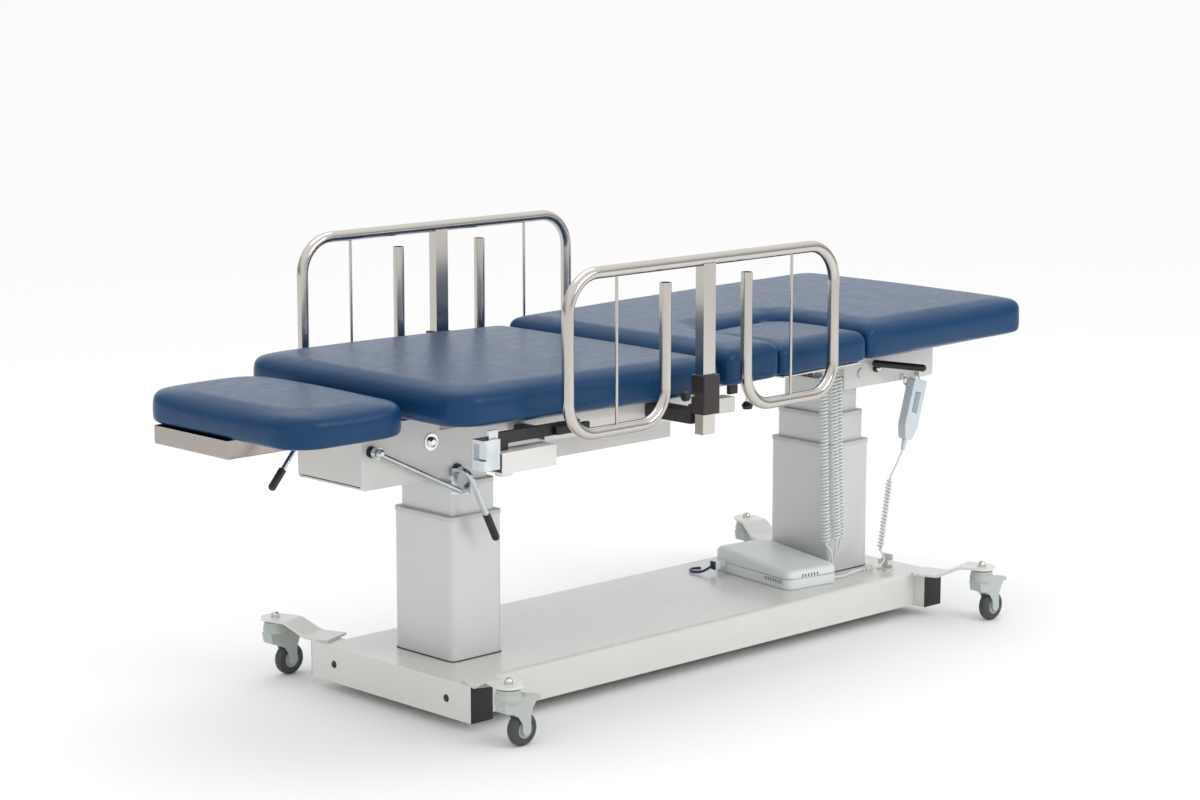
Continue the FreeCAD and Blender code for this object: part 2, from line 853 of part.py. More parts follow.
def main_frame():
    near = side_plate(-1)
    far = side_plate(1)
    hook_hole = Part.makeCylinder(
        hook_shaft_radius + running_clearance, frame_plate,
        V(hook_shaft_x, -yoke_half_width, hook_shaft_z), Y_AXIS,
    )
    frame = near.cut(hook_hole).fuse(far)
    end_plate = box(
        foot_yoke_end_x, foot_yoke_end_x + frame_plate, -plate_inner_y, plate_inner_y,
        frame_bottom_z + 10, beam_top_z,
    )
    floor_plate = box(
        foot_yoke_end_x + 10, foot_pivot_x - 45, -plate_inner_y, plate_inner_y,
        frame_bottom_z, frame_bottom_z + frame_plate,
    )
    web_tie = box(
        side_plate_head_x - frame_plate, side_plate_head_x, -plate_inner_y, plate_inner_y,
        frame_bottom_z, side_plate_top_z,
    )
    guide = box(
        slide_guide_x, slide_guide_x + slide_guide_thickness, -plate_inner_y, plate_inner_y,
        side_plate_top_z - 4, beam_top_z,
    )
    cord_bracket = box(
        cord_bracket_x - 40, cord_bracket_x + 40, cord_bracket_y, -beam_outer_y + 1,
        beam_top_z - beam_height, beam_top_z - beam_height + 4,
    )
    frame = frame.fuse([end_plate, floor_plate, web_tie, guide])
    for side in (-1, 1):
        y_out = side * beam_outer_y
        y_in = side * (beam_outer_y - beam_width)
        beam = rect_tube(
            beam_foot_x, head_yoke_head_x - frame_plate, min(y_out, y_in), max(y_out, y_in),
            beam_top_z - beam_height, beam_top_z, 3.0, "x",
        )
        frame = frame.fuse(beam)
    for x0, x1 in ((beam_foot_x, beam_foot_x + 40), (side_plate_head_x - 44, side_plate_head_x)):
        tie = box(x0, x1, -plate_inner_y, plate_inner_y, side_plate_top_z - 4, side_plate_top_z)
        frame = frame.fuse(tie)
    for side in (-1, 1):
        y = side * slide_rod_y
        frame = frame.cut(
            rod(
                V(foot_yoke_end_x - 1, y, slide_rod_z), V(slide_guide_x + slide_guide_thickness, y, slide_rod_z),
                slide_rod_radius + running_clearance,
            )
        )
    return frame.fuse([head_yoke(), cord_bracket])


def head_yoke():
    half = head_yoke_half_width
    inner = half - frame_plate
    yoke = None
    for side in (-1, 1):
        y0 = min(side * half, side * inner)
        plate = box(head_yoke_foot_x, head_yoke_head_x, y0, y0 + frame_plate, head_yoke_bottom_z, beam_top_z)
        lower_corner = [
            e for e in plate.Edges
            if all(abs(v.X - head_yoke_head_x) < 1e-6 and abs(v.Z - head_yoke_bottom_z) < 1e-6 for v in e.Vertexes)
        ]
        plate = plate.makeFillet(8, lower_corner)
        bore = Part.makeCylinder(
            head_shaft_radius + running_clearance, frame_plate, V(head_column_x, y0, head_pivot_z), Y_AXIS
        )
        plate = plate.cut(bore)
        yoke = plate if yoke is None else yoke.fuse(plate)
    end = box(head_yoke_head_x - frame_plate, head_yoke_head_x, -inner, inner, head_yoke_bottom_z + 8, beam_top_z)
    foot_face = box(
        head_yoke_foot_x, head_yoke_foot_x + frame_plate, -inner, inner, beam_top_z - 62, beam_top_z
    )
    return yoke.fuse([end, foot_face])


def seat_level_z():
    return seat_bottom_at_joint


def seat_frame():
    """Deck under the seat pad with deep side flanges, plus two side tubes tied to the main frame."""
    top = seat_level_z()
    head_x = joint_x - pad_joint_gap / 2
    deck = box(deck_foot_x, head_x, -deck_half_width, deck_half_width, top - deck_thickness, top)
    for side in (-1, 1):
        y_out = side * deck_half_width
        y_in = side * (deck_half_width - deck_thickness)
        flange = box(deck_foot_x, head_x, min(y_out, y_in), max(y_out, y_in), top - deck_flange, top)
        deck = deck.fuse(flange)
        tube_out = side * side_tube_outer_y
        tube_in = side * (side_tube_outer_y - side_tube_width)
        tube_top = top - deck_flange
        ledge = box(
            side_tube_foot_x, head_x, min(tube_in, y_out), max(tube_in, y_out), tube_top, tube_top + deck_thickness
        )
        tube = rect_tube(
            side_tube_foot_x, side_tube_head_x, min(tube_out, tube_in), max(tube_out, tube_in),
            tube_top - side_tube_height, tube_top, 2.5, "x",
        )
        deck = deck.fuse([ledge, tube])
        for x in (side_tube_foot_x + 40, side_plate_head_x - 60):
            web_y = side * (yoke_half_width + 2)
            cross = rect_tube(
                x, x + cross_tube_size, min(web_y, tube_in), max(web_y, tube_in),
                tube_top - cross_tube_size - 4, tube_top - 4, 2.5, "y",
            )
            deck = deck.fuse(cross)
    return sloped(deck, seat_slope)


def seat_bearers():
    """Flat bars between the main beams and the sloping seat deck."""
    bars = []
    for x in (-520.0, -280.0, -30.0):
        rise = (joint_x - x) * math.tan(math.radians(seat_slope))
        top = seat_bottom_at_joint - deck_thickness + rise - 1.2
        bars.append(box(x - 25, x + 25, -side_tube_outer_y + 60, side_tube_outer_y - 60, beam_top_z, top))
    return Part.makeCompound(bars)


def hinge_knuckles(start, end):
    """Alternate knuckles of the upright section hinge."""
    pieces = []
    pitch = 2 * hinge_half_length / 11
    for i in range(start, end, 2):
        y0 = -hinge_half_length + i * pitch + touch_gap
        y1 = y0 + pitch - 2 * touch_gap
        barrel = Part.makeCylinder(hinge_knuckle_radius, y1 - y0, V(hinge_x, y0, hinge_z), Y_AXIS)
        pieces.append((barrel, y0, y1))
    return pieces


def seat_hinge_leaf():
    """Leaf that stands between the pads, with the hinge pin in its knuckles."""
    gap_half = pad_joint_gap / 2
    leaf = box(
        hinge_x - gap_half + touch_gap, hinge_x - gap_half + touch_gap + hinge_leaf,
        -hinge_half_length, hinge_half_length, seat_bottom_at_joint, hinge_z - hinge_knuckle_radius - 1,
    )
    pin = Part.makeCylinder(
        hinge_pin_radius, 2 * hinge_half_length, V(hinge_x, -hinge_half_length, hinge_z), Y_AXIS
    )
    result = leaf.fuse(pin)
    for barrel, y0, y1 in hinge_knuckles(0, 11):
        tab = box(
            hinge_x - gap_half + touch_gap, hinge_x - gap_half + touch_gap + hinge_leaf, y0, y1,
            hinge_z - hinge_knuckle_radius - 1, hinge_z,
        )
        result = result.fuse([barrel, tab])
    return result


def back_hinge_leaf():
    gap_half = pad_joint_gap / 2
    x1 = hinge_x + gap_half - touch_gap
    leaf = box(
        x1 - hinge_leaf, x1, -hinge_half_length, hinge_half_length,
        back_bottom_at_joint - back_plate_thickness, hinge_z - hinge_knuckle_radius - 1,
    )
    bore = Part.makeCylinder(
        hinge_pin_radius + running_clearance, 2 * hinge_half_length,
        V(hinge_x, -hinge_half_length, hinge_z), Y_AXIS,
    )
    for barrel, y0, y1 in hinge_knuckles(1, 11):
        tab = box(x1 - hinge_leaf, x1, y0, y1, hinge_z - hinge_knuckle_radius - 1, hinge_z)
        leaf = leaf.fuse([barrel, tab])
    return leaf.cut(bore)


# Pads


def pad_block(x0, x1, y0, y1, z0, z1, corners):
    """Upholstered pad: upright corners by their own radius, soft top edge, small bottom edge."""
    pad = box(x0, x1, y0, y1, z0, z1)
    for radius, x, y in corners:
        here = [
            e for e in upright_edges(pad)
            if abs(e.Vertexes[0].X - x) < 1e-6 and abs(e.Vertexes[0].Y - y) < 1e-6
        ]
        pad = pad.makeFillet(radius, here)
    return soften(pad, z0, z1)


def soften(pad, z0, z1):
    pad = pad.makeFillet(top_edge_radius, edges_at_height(pad, z1))
    return pad.makeFillet(bottom_edge_radius, edges_at_height(pad, z0))


def seat_pad():
    half = pad_width / 2
    x1 = joint_x - pad_joint_gap / 2
    z0 = seat_bottom_at_joint
    pad = pad_block(
        seat_foot_x, x1, -half, half, z0 + touch_gap, z0 + seat_thickness,
        [
            (seat_corner, seat_foot_x, -half), (seat_corner, seat_foot_x, half),
            (joint_corner + 10, x1, -half), (joint_corner + 10, x1, half),
        ],
    )
    return sloped(pad, seat_slope)


def notch_outline(inset, z0, z1):
    """Solid of the window notch, its two inner corners rounded, made smaller by inset."""
    half = pad_width / 2
    x0 = notch_foot_x + inset
    x1 = notch_head_x - inset
    y1 = notch_inner_y - inset
    block = box(x0, x1, -half - 50, y1, z0, z1)
    inner = [e for e in upright_edges(block) if abs(e.Vertexes[0].Y - y1) < 1e-6]
    return block.makeFillet(notch_corner - inset, inner)


def back_pad():
    half = pad_width / 2
    x0 = joint_x + pad_joint_gap / 2
    z0 = back_bottom_at_joint + touch_gap
    z1 = back_bottom_at_joint + back_thickness
    pad = box(x0, back_head_x, -half, half, z0, z1)
    for radius, x in ((joint_corner, x0), (back_corner, back_head_x)):
        here = [e for e in upright_edges(pad) if abs(e.Vertexes[0].X - x) < 1e-6]
        pad = pad.makeFillet(radius, here)
    pad = pad.cut(notch_outline(0, z0 - 1, z1 + 1))
    pad = pad.removeSplitter()
    mouth = [
        e for e in upright_edges(pad)
        if abs(e.Vertexes[0].Y + half) < 1e-6
        and (abs(e.Vertexes[0].X - notch_foot_x) < 1e-6 or abs(e.Vertexes[0].X - notch_head_x) < 1e-6)
    ]
    pad = pad.makeFillet(joint_corner, mouth)
    return sloped(soften(pad, z0, z1), -back_slope)


def window_pad():
    half = pad_width / 2
    z0 = back_bottom_at_joint + touch_gap
    z1 = back_bottom_at_joint + back_thickness - window_step
    pad = notch_outline(window_gap, z0, z1)
    pad = pad.cut(box(notch_foot_x, notch_head_x, -half - 60, -half, z0 - 1, z1 + 1))
    outer = [e for e in upright_edges(pad) if abs(e.Vertexes[0].Y + half) < 1e-6]
    pad = pad.makeFillet(joint_corner, outer)
    return sloped(soften(pad, z0, z1), -back_slope)


def window_board():
    """Steel board under the window pad with its hinge knuckle along the inner edge."""
    z1 = back_bottom_at_joint
    z0 = z1 - back_plate_thickness
    board = box(
        notch_foot_x + 20, notch_head_x - 20, -pad_width / 2 + 12, notch_inner_y - window_gap - 4, z0, z1
    )
    knuckle = rod(
        V(notch_foot_x + 80, window_hinge_y(), window_hinge_z()),
        V(notch_head_x - 80, window_hinge_y(), window_hinge_z()), 4,
    )
    leaf = box(notch_foot_x + 80, notch_head_x - 80, notch_inner_y - 8, window_hinge_y(), z0 - 3, z0)
    pin_bore = rod(
        V(notch_foot_x + 80, window_hinge_y(), window_hinge_z()),
        V(notch_head_x - 80, window_hinge_y(), window_hinge_z()), 2 + running_clearance,
    )
    catch = box(catch_x, catch_x + catch_length, -back_plate_half_width - 6, -back_plate_half_width + 12,
                z0 - catch_height, z0)
    return sloped(board.fuse([knuckle, leaf, catch]).cut(pin_bore), -back_slope)


def window_hinge_y():
    return notch_inner_y + 4


def window_hinge_z():
    return back_bottom_at_joint - back_plate_thickness - 1.5


def foot_pad():
    half = foot_pad_width / 2
    z0 = foot_pad_bottom
    return pad_block(
        foot_pad_foot_x, foot_pad_head_x, -half, half, z0 + touch_gap, z0 + foot_pad_thickness,
        [(foot_pad_corner, x, y) for x in (foot_pad_foot_x, foot_pad_head_x) for y in (-half, half)],
    )


# Back section frame


def back_frame():
    z1 = back_bottom_at_joint
    z0 = z1 - back_plate_thickness
    x0 = joint_x + pad_joint_gap / 2 - touch_gap - hinge_leaf
    x1 = back_head_x - 60
    half = back_plate_half_width
    plate = box(x0, x1, -half, half, z0, z1)
    plate = plate.cut(box(notch_foot_x - 4, notch_head_x + 4, -half - 1, notch_inner_y + 10, z0 - 1, z1 + 1))
    for y in (-30.0, 95.0, half - back_rib_width):
        plate = plate.fuse(box(x0 + 20, x1, y, y + back_rib_width, z0 - back_rib_height, z0))
    for a, b in ((x0 + 20, notch_foot_x - 4), (notch_head_x + 4, x1)):
        plate = plate.fuse(box(a, b, -half, -half + 3, z0 - back_flange, z0))
    for x in (notch_foot_x + 60, notch_head_x - 78):
        eye = box(x, x + 18, window_hinge_y() - 3.5, notch_inner_y + 24, z0 - 6, z0)
        plate = plate.fuse(eye)
    pin = rod(
        V(notch_foot_x + 60, window_hinge_y(), window_hinge_z()),
        V(notch_head_x - 60, window_hinge_y(), window_hinge_z()), 2,
    )
    plate = plate.fuse(pin)
    knob_hole = Part.makeCylinder(4 + running_clearance, 40, V(window_knob_x, window_knob_y, z0 - 20))
    guide = Part.makeCylinder(9, 12, V(window_knob_x, window_knob_y, z0 - 12))
    plate = plate.fuse(guide).cut(knob_hole)
    plate = plate.fuse([back_hinge_leaf(), section_latch(z0)])
    return sloped(plate, -back_slope)


def section_latch(z0):
    """Small block on the near flange, between the hinge and the window."""
    latch = box(latch_x, latch_x + latch_length, -back_plate_half_width - latch_thickness, -back_plate_half_width,
                z0 - latch_height, z0)
    return latch.makeFillet(3, upright_edges(latch))


def window_release_knob():
    """Pull knob under the back section, beside the window."""
    top = back_bottom_at_joint - touch_gap
    stem = Part.makeCylinder(4, top - window_knob_z - 10, V(window_knob_x, window_knob_y, window_knob_z + 10))
    body = Part.makeCone(window_knob_radius - 3, window_knob_radius, 8, V(window_knob_x, window_knob_y, window_knob_z - 8))
    cap = Part.makeCone(window_knob_radius, 7, 10, V(window_knob_x, window_knob_y, window_knob_z))
    return sloped(stem.fuse([body, cap]), -back_slope)


def head_lever():
    """Release lever: eye on its bolt, short rod, thick grip out to the side."""
    plate_y = -head_yoke_half_width
    pivot = V(head_lever_x, plate_y, head_lever_z)
    hub_y = plate_y - touch_gap
    hub = Part.makeCylinder(9, 8, V(head_lever_x, hub_y, head_lever_z), V(0, -1, 0))
    bore = Part.makeCylinder(4 + running_clearance, 8, V(head_lever_x, hub_y, head_lever_z), V(0, -1, 0))
    turn = math.radians(head_lever_angle)
    start = V(head_lever_x - 20, hub_y - 14, head_lever_z + 17)
    along = V(math.cos(turn), math.sin(turn), -0.1).normalize()
    web = rod(V(head_lever_x, hub_y - 4, head_lever_z + 8), start, 4)
    grip_start = start + along * 4
    grip = rod(grip_start, grip_start + along * head_lever_grip_length, head_lever_grip_radius)
    tip = Part.makeSphere(head_lever_grip_radius, grip_start + along * head_lever_grip_length)
    grip = grip.fuse([tip, Part.makeSphere(head_lever_grip_radius, grip_start)])
    return hub.fuse([web, grip]).cut(bore)


def head_lever_bolt():
    start = V(head_lever_x, -head_yoke_half_width, head_lever_z)
    outward = V(0, -1, 0)
    shank = Part.makeCylinder(4, 10 + touch_gap, start, outward)
    head = Part.makeCylinder(6.5, 4, start + outward * (10 + touch_gap), outward)
    dome = Part.makeCone(6.5, 3, 3, start + outward * (14 + touch_gap), outward)
    return shank.fuse([head, dome])


# Foot section


def foot_deck():
    """Board under the foot pad on a cross bar, with two rods that slide into the yoke."""
    z1 = foot_pad_bottom
    z0 = z1 - foot_deck_thickness
    deck = box(
        foot_pad_foot_x + foot_deck_inset, foot_yoke_end_x - 6, -foot_deck_half_width, foot_deck_half_width, z0, z1
    )
    bar = box(slide_bar_x - 13, slide_bar_x + 13, -slide_rod_y - 15, slide_rod_y + 15, slide_rod_z - 12, z0)
    deck = deck.fuse(bar)
    for side in (-1, 1):
        y = side * slide_rod_y
        deck = deck.fuse(rod(V(slide_bar_x, y, slide_rod_z), V(slide_rod_end_x, y, slide_rod_z), slide_rod_radius))
    pivot_x = foot_lever_x + 30
    block_y = foot_lever_y + 38
    block = box(pivot_x - 9, pivot_x + 9, block_y, block_y + 12, foot_lever_z() - 9, z0)
    bore = rod(
        V(pivot_x, block_y, foot_lever_z()), V(pivot_x, block_y + 12, foot_lever_z()),
        foot_lever_rod_radius + running_clearance,
    )
    return deck.fuse(block.cut(bore))


def foot_pan():
    """Shallow stainless tray slung under the foot pad, open at the top."""
    z1 = foot_pad_bottom - touch_gap
    z0 = foot_pad_bottom - pan_depth
    front = foot_pad_foot_x + 2
    outer = rounded_block(front, pan_head_x, pan_near_y, pan_far_y, z0, z1, 5)
    outer = outer.makeFillet(4, edges_at_height(outer, z0))
    inner = rounded_block(
        front + pan_wall, pan_head_x - pan_wall, pan_near_y + pan_wall, pan_far_y - pan_wall, z0 + pan_wall, z1, 3.5
    )
    pan = outer.cut(inner)
    deck_zone = box(
        foot_pad_foot_x + foot_deck_inset - touch_gap, pan_head_x + 1, pan_near_y - 1, pan_far_y + 1,
        foot_pad_bottom - foot_deck_thickness - touch_gap, foot_pad_bottom,
    )
    return pan.cut(deck_zone)


def side_rod():
    """Cross shaft through the yoke; the rod on its near end is held by a domed nut and rests by the hook plate."""
    start = V(foot_shaft_x, rod_y, foot_shaft_z)
    tip = V(rod_tip_x, rod_y, rod_tip_z)
    bar = rod(start, tip, rod_radius)
    nose = Part.makeSphere(rod_radius, tip)
    shaft_end = yoke_half_width + 7 + 6
    shaft = rod(V(foot_shaft_x, rod_y - rod_radius - 5, foot_shaft_z), V(foot_shaft_x, shaft_end, foot_shaft_z),
                foot_shaft_radius)
    eye = rod(V(foot_shaft_x, rod_y - rod_radius, foot_shaft_z), V(foot_shaft_x, rod_y + rod_radius, foot_shaft_z), 13)
    nut_y = rod_y - rod_radius - 1
    nut = Part.makeCylinder(10, 6, V(foot_shaft_x, nut_y, foot_shaft_z), V(0, -1, 0))
    dome = Part.makeCone(10, 5, 5, V(foot_shaft_x, nut_y - 6, foot_shaft_z), V(0, -1, 0))
    return bar.fuse([nose, eye, shaft, nut, dome])


def foot_lever():
    """Bent release rod whose inner end turns in a block under the foot deck, with a black grip."""
    z = foot_lever_z()
    pivot_x = foot_lever_x + 30
    path = bent_path(
        [
            V(pivot_x, foot_lever_y + 58, z), V(pivot_x, foot_lever_y + 26, z),
            V(foot_lever_x, foot_lever_y, z), foot_grip_start(),
        ],
        [10.0, 14.0],
    )
    lever = round_tube(path, foot_lever_rod_radius)
    knee = V(foot_lever_x, foot_lever_y, z)
    grip_start = foot_grip_start()
    along = (grip_start - knee).normalize()
    grip = rod(grip_start, grip_start + along * foot_grip_length, grip_radius)
    tip = Part.makeSphere(grip_radius, grip_start + along * foot_grip_length)
    return lever.fuse([grip, tip])


def foot_grip_start():
    return V(foot_lever_x - foot_lever_reach, foot_lever_y - 4, foot_lever_z() - foot_lever_fall)


def foot_lever_z():
    return foot_pad_bottom - foot_deck_thickness - 9


# Hook lever


def hook_lever():
    """Cross shaft bent down into a hand lever, with the hook plate welded beneath it."""
    inner = V(hook_shaft_x, -plate_inner_y + 2, hook_shaft_z)
    knee = V(hook_shaft_x, lever_y, hook_shaft_z)
    grip_start = V(lever_reach_x, lever_y, lever_reach_z)
    path = bent_path([inner, knee, grip_start], [lever_bend_radius])
    lever = round_tube(path, hook_shaft_radius)
    along = (grip_start - knee).normalize()
    grip = rod(grip_start, grip_start + along * lever_grip_length, grip_radius + 0.5)
    tip = Part.makeSphere(grip_radius + 0.5, grip_start + along * lever_grip_length)
    web_y = -yoke_half_width - 7 - touch_gap - hook_plate_thickness
    x0 = hook_shaft_x - hook_plate_width / 2 - 4
    web = box(
        x0, x0 + hook_plate_width, web_y, web_y + hook_plate_thickness,
        hook_shaft_z - hook_plate_drop, hook_shaft_z + 4,
    )
    flange = box(
        x0 + hook_plate_width - hook_plate_thickness, x0 + hook_plate_width, web_y - hook_flange, web_y,
        hook_shaft_z - hook_plate_drop, hook_shaft_z - 8,
    )
    return lever.fuse([grip, tip, web, flange])


# Side rails


def rail_loop(side):
    y = side * rail_plane_y
    left = rail_center_x - rail_half_length
    right = rail_center_x + rail_half_length
    inner_left = rail_center_x - rail_inner_offset
    inner_right = rail_center_x + rail_inner_offset
    points = [
        V(inner_left, y, rail_inner_top_z), V(inner_left, y, rail_bottom_z), V(left, y, rail_bottom_z),
        V(left, y, rail_top_z), V(right, y, rail_top_z), V(right, y, rail_bottom_z),
        V(inner_right, y, rail_bottom_z), V(inner_right, y, rail_inner_top_z),
    ]
    radii = [rail_bottom_bend, rail_bottom_bend, rail_top_bend, rail_top_bend, rail_bottom_bend, rail_bottom_bend]
    path = bent_path(points, radii)
    tube = round_tube(path, rail_tube_radius)
    for x in (inner_left, inner_right):
        top = V(x, y, rail_inner_top_z)
        tube = tube.cut(rod(top - V(0, 0, rail_bore_depth), top, rail_tube_radius - rail_tube_wall))
    pieces = [tube]
    for offset in (-rail_rod_offset, rail_rod_offset):
        x = rail_center_x + offset
        low = rail_bottom_z + rail_tube_radius - 0.6
        high = rail_top_z - rail_tube_radius + 0.6
        pieces.append(rod(V(x, y, low), V(x, y, high), rail_rod_radius))
    post = box(
        post_x - post_x_size / 2, post_x + post_x_size / 2, y - post_y_size / 2, y + post_y_size / 2,
        post_bottom_z, rail_top_z - 8,
    )
    post = post.cut(rod(V(left, y, rail_top_z), V(right, y, rail_top_z), rail_tube_radius - 0.2))
    hollow = box(
        post_x - post_x_size / 2 + 2, post_x + post_x_size / 2 - 2, y - post_y_size / 2 + 2,
        y + post_y_size / 2 - 2, post_bottom_z, rail_top_z - 40,
    )
    pieces.append(post.cut(hollow))
    return Part.makeCompound(pieces)


def clamp_block(side):
    """Block round the post, with a bar that reaches in to the seat deck's flange."""
    y0 = min(side * block_outer_y, side * block_inner_y)
    y1 = max(side * block_outer_y, side * block_inner_y)
    block = box(post_x - block_x_size / 2, post_x + block_x_size / 2, y0, y1, block_bottom_z, block_top_z)
    block = block.makeFillet(3, upright_edges(block))
    y = side * rail_plane_y
    slip = sliding_clearance
    channel = box(
        post_x - post_x_size / 2 - slip, post_x + post_x_size / 2 + slip, y - post_y_size / 2 - slip,
        y + post_y_size / 2 + slip, block_bottom_z - 1, block_top_z + 1,
    )
    knob_hole = Part.makeCylinder(
        knob_stem_radius + running_clearance, 20, V(post_x - block_x_size / 2, y, knob_z), X_AXIS
    )
    arm_inner = side * deck_half_width
    arm_outer = side * block_inner_y
    arm = box(
        post_x - block_x_size / 2, post_x + block_x_size / 2, min(arm_inner, arm_outer),
        max(arm_inner, arm_outer), clamp_arm_bottom_z - 12, clamp_arm_bottom_z - 12 + clamp_arm_height,
    )
    riser = box(
        post_x - block_x_size / 2, post_x + block_x_size / 2, min(arm_outer, arm_outer - side * 8),
        max(arm_outer, arm_outer - side * 8), clamp_arm_bottom_z - 12, block_bottom_z + 20,
    )
    return block.cut(channel).cut(knob_hole).fuse([arm, riser])


def rail_knob(side):
    """Clamp screw with a round knob; its tip presses on the post."""
    y = side * rail_plane_y
    tip_x = post_x - post_x_size / 2 - touch_gap
    face_x = post_x - block_x_size / 2
    stem = rod(V(face_x - knob_stem_length, y, knob_z), V(tip_x, y, knob_z), knob_stem_radius)
    knob_x = face_x - knob_stem_length
    knob = rod(V(knob_x - knob_thickness, y, knob_z), V(knob_x, y, knob_z), knob_radius)
    rims = [e for e in knob.Edges if len(e.Vertexes) == 1]
    knob = knob.makeChamfer(knob_chamfer, rims)
    return stem.fuse(knob)


# Hardware under the seat's long edges


def socket_clamps():
    """Silver clamps that hang from the deck's edge and hold the sockets' foot ends."""
    x0 = socket_foot_x - socket_clamp_length - touch_gap
    x1 = socket_foot_x - touch_gap
    y0 = -socket_outer_y + 4
    y1 = -socket_outer_y + socket_width - 6
    z0 = socket_bottom_z + 12
    z1 = seat_bottom_at_joint
    body = box(x0 + 16, x1, y0, y1, z0, z1 - 14)
    slot = box(x0 + 16, x0 + 24, y0 - 1, y1 - 8, z0 + 22, z1 - 22)
    tongue = box(x1 - 26, x1, y0 + 10, y0 + 16, z1 - 14, z1 + 4)
    body = body.makeFillet(4, upright_edges(body))
    return both_sides(body.cut(slot).fuse(tongue))


def stirrup_sockets():
    y0 = -socket_outer_y
    y1 = -socket_outer_y + socket_width
    z1 = socket_bottom_z + socket_height
    tube = rect_tube(socket_foot_x, socket_head_x, y0, y1, socket_bottom_z, z1, socket_wall, "x")
    foot = box(socket_foot_x + 4, socket_foot_x + 34, y0 + 6, y0 + 30, socket_bottom_z - 7, socket_bottom_z)
    return both_sides(tube.fuse(foot))


def accessory_rails():
    """Black flat bar under the seat edge, its hanger and its hand loop, and the socket's black plug."""
    x0 = socket_foot_x
    y0 = -accessory_rail_outer_y
    y1 = y0 + accessory_rail_thickness
    z0 = accessory_rail_bottom_z
    z1 = z0 + accessory_rail_height
    bar = box(x0, accessory_rail_head_x, y0, y1, z0, z1)
    hanger = box(x0 + 6, x0 + 36, y0, y1, socket_bottom_z + socket_height, z0)
    tie = box(-545.0, -515.0, y1, -deck_half_width, z0 + 4, z0 + 16)
    loop_head_x = accessory_rail_head_x + 20
    loop_foot_x = loop_head_x - hand_loop_length
    loop = box(loop_foot_x, loop_head_x, y0 - hand_loop_depth, y0, z0 + 2, z1 - 6)
    loop = loop.makeFillet(6, upright_edges(loop))
    hole = box(
        loop_foot_x + 14, loop_head_x - 14, y0 - hand_loop_depth + hand_loop_wall, y0 - hand_loop_wall, z0, z1
    )
    side = bar.fuse([hanger, tie, loop.cut(hole)])
    plug = box(
        socket_foot_x, socket_foot_x + socket_plug_depth, -socket_outer_y + socket_wall,
        -socket_outer_y + socket_width - socket_wall, socket_bottom_z + socket_wall,
        socket_bottom_z + socket_height - socket_wall,
    )
    return both_sides(Part.makeCompound([side, plug]))


# Control box and small base fittings


def box_place(shape):
    """Shapes of the control box are drawn about its own centre and turned into place."""
    shape.rotate(V(0, 0, 0), Z_AXIS, box_turn)
    shape.translate(V(box_x, box_y, base_top))
    return shape


def control_box_base():
    half_w = box_width / 2
    half_l = box_length / 2
    shell = rounded_block(-half_w, half_w, -half_l, half_l, 0, box_base_height, box_corner)
    shell = shell.makeFillet(4, edges_at_height(shell, 0))
    cavity = rounded_block(
        box_wall - half_w, half_w - box_wall, box_wall - half_l, half_l - box_wall,
        box_wall, box_base_height, box_corner - box_wall,
    )
    shell = shell.cut(cavity)
    for i in range(10):
        y = -half_l + 26 + i * 7
        shell = shell.cut(box(half_w - box_wall - 1, half_w + 1, y, y + 3, box_base_height - 12, box_base_height - 3))
        shell = shell.cut(box(-half_w - 1, -half_w + box_wall + 1, y, y + 3, box_base_height - 12, box_base_height - 3))
    return box_place(shell)


def control_box_lid():
    half_w = box_width / 2
    half_l = box_length / 2
    z0 = box_base_height
    z1 = box_base_height + box_lid_height
    shell = rounded_block(-half_w, half_w, -half_l, half_l, z0, z1, box_corner)
    nose = box(-half_w - 1, half_w + 1, -half_l - 60, -half_l + 70, z0 + 12, z1 + 20)
    nose.rotate(V(0, -half_l + 70, z1), X_AXIS, 14)
    shell = shell.cut(nose.common(box(-half_w - 2, half_w + 2, -half_l - 5, -half_l + 75, z0 + 12, z1 + 5)))
    tail = box(-half_w - 1, half_w + 1, half_l - 40, half_l + 60, z1, z1 + 40)
    tail.rotate(V(0, half_l - 40, z1), X_AXIS, -16)
    shell = shell.cut(tail)
    cavity = rounded_block(
        box_wall - half_w, half_w - box_wall, box_wall - half_l, half_l - box_wall,
        z0, z0 + 10, box_corner - box_wall,
    )
    return box_place(shell.cut(cavity))


def mains_inlet():
    """Strain relief boss on the box's side, with the dark plug pushed into it."""
    half_w = box_width / 2
    y = box_length / 2 - 40
    z = box_base_height - 4
    boss = rod(V(-half_w, y, z), V(-half_w - gland_length, y, z), gland_radius)
    s = connector_size / 2
    plug = box(-half_w - gland_length - 20, -half_w - gland_length, y - s, y + s, z - s, z + s)
    plug = plug.makeFillet(3, plug.Edges)
    return box_place(Part.makeCompound([boss, plug]))


def cord_clip():
    """Upright white clip on the tray: two jaws over a foot."""
    foot = box(clip_x - 12, clip_x + 16, clip_y - clip_width / 2, clip_y + clip_width / 2, base_top, base_top + 4)
    wall = box(clip_x + 8, clip_x + 12, clip_y - clip_width / 2, clip_y + clip_width / 2, base_top + 4, base_top + clip_height)
    jaws = [
        box(clip_x - 8, clip_x + 8, clip_y - clip_width / 2, clip_y - clip_width / 2 + 5, base_top + 14, base_top + 26),
        box(clip_x - 8, clip_x + 8, clip_y + clip_width / 2 - 5, clip_y + clip_width / 2, base_top + 14, base_top + 26),
    ]
    return foot.fuse([wall] + jaws)


# Handset


def handset_place(shape):
    """The handset is drawn upright about its centre, its face to -Y, and leans in its hook."""
    shape.rotate(V(0, 0, 0), Y_AXIS, handset_lean)
    shape.translate(V(handset_x, handset_y, handset_z))
    return shape


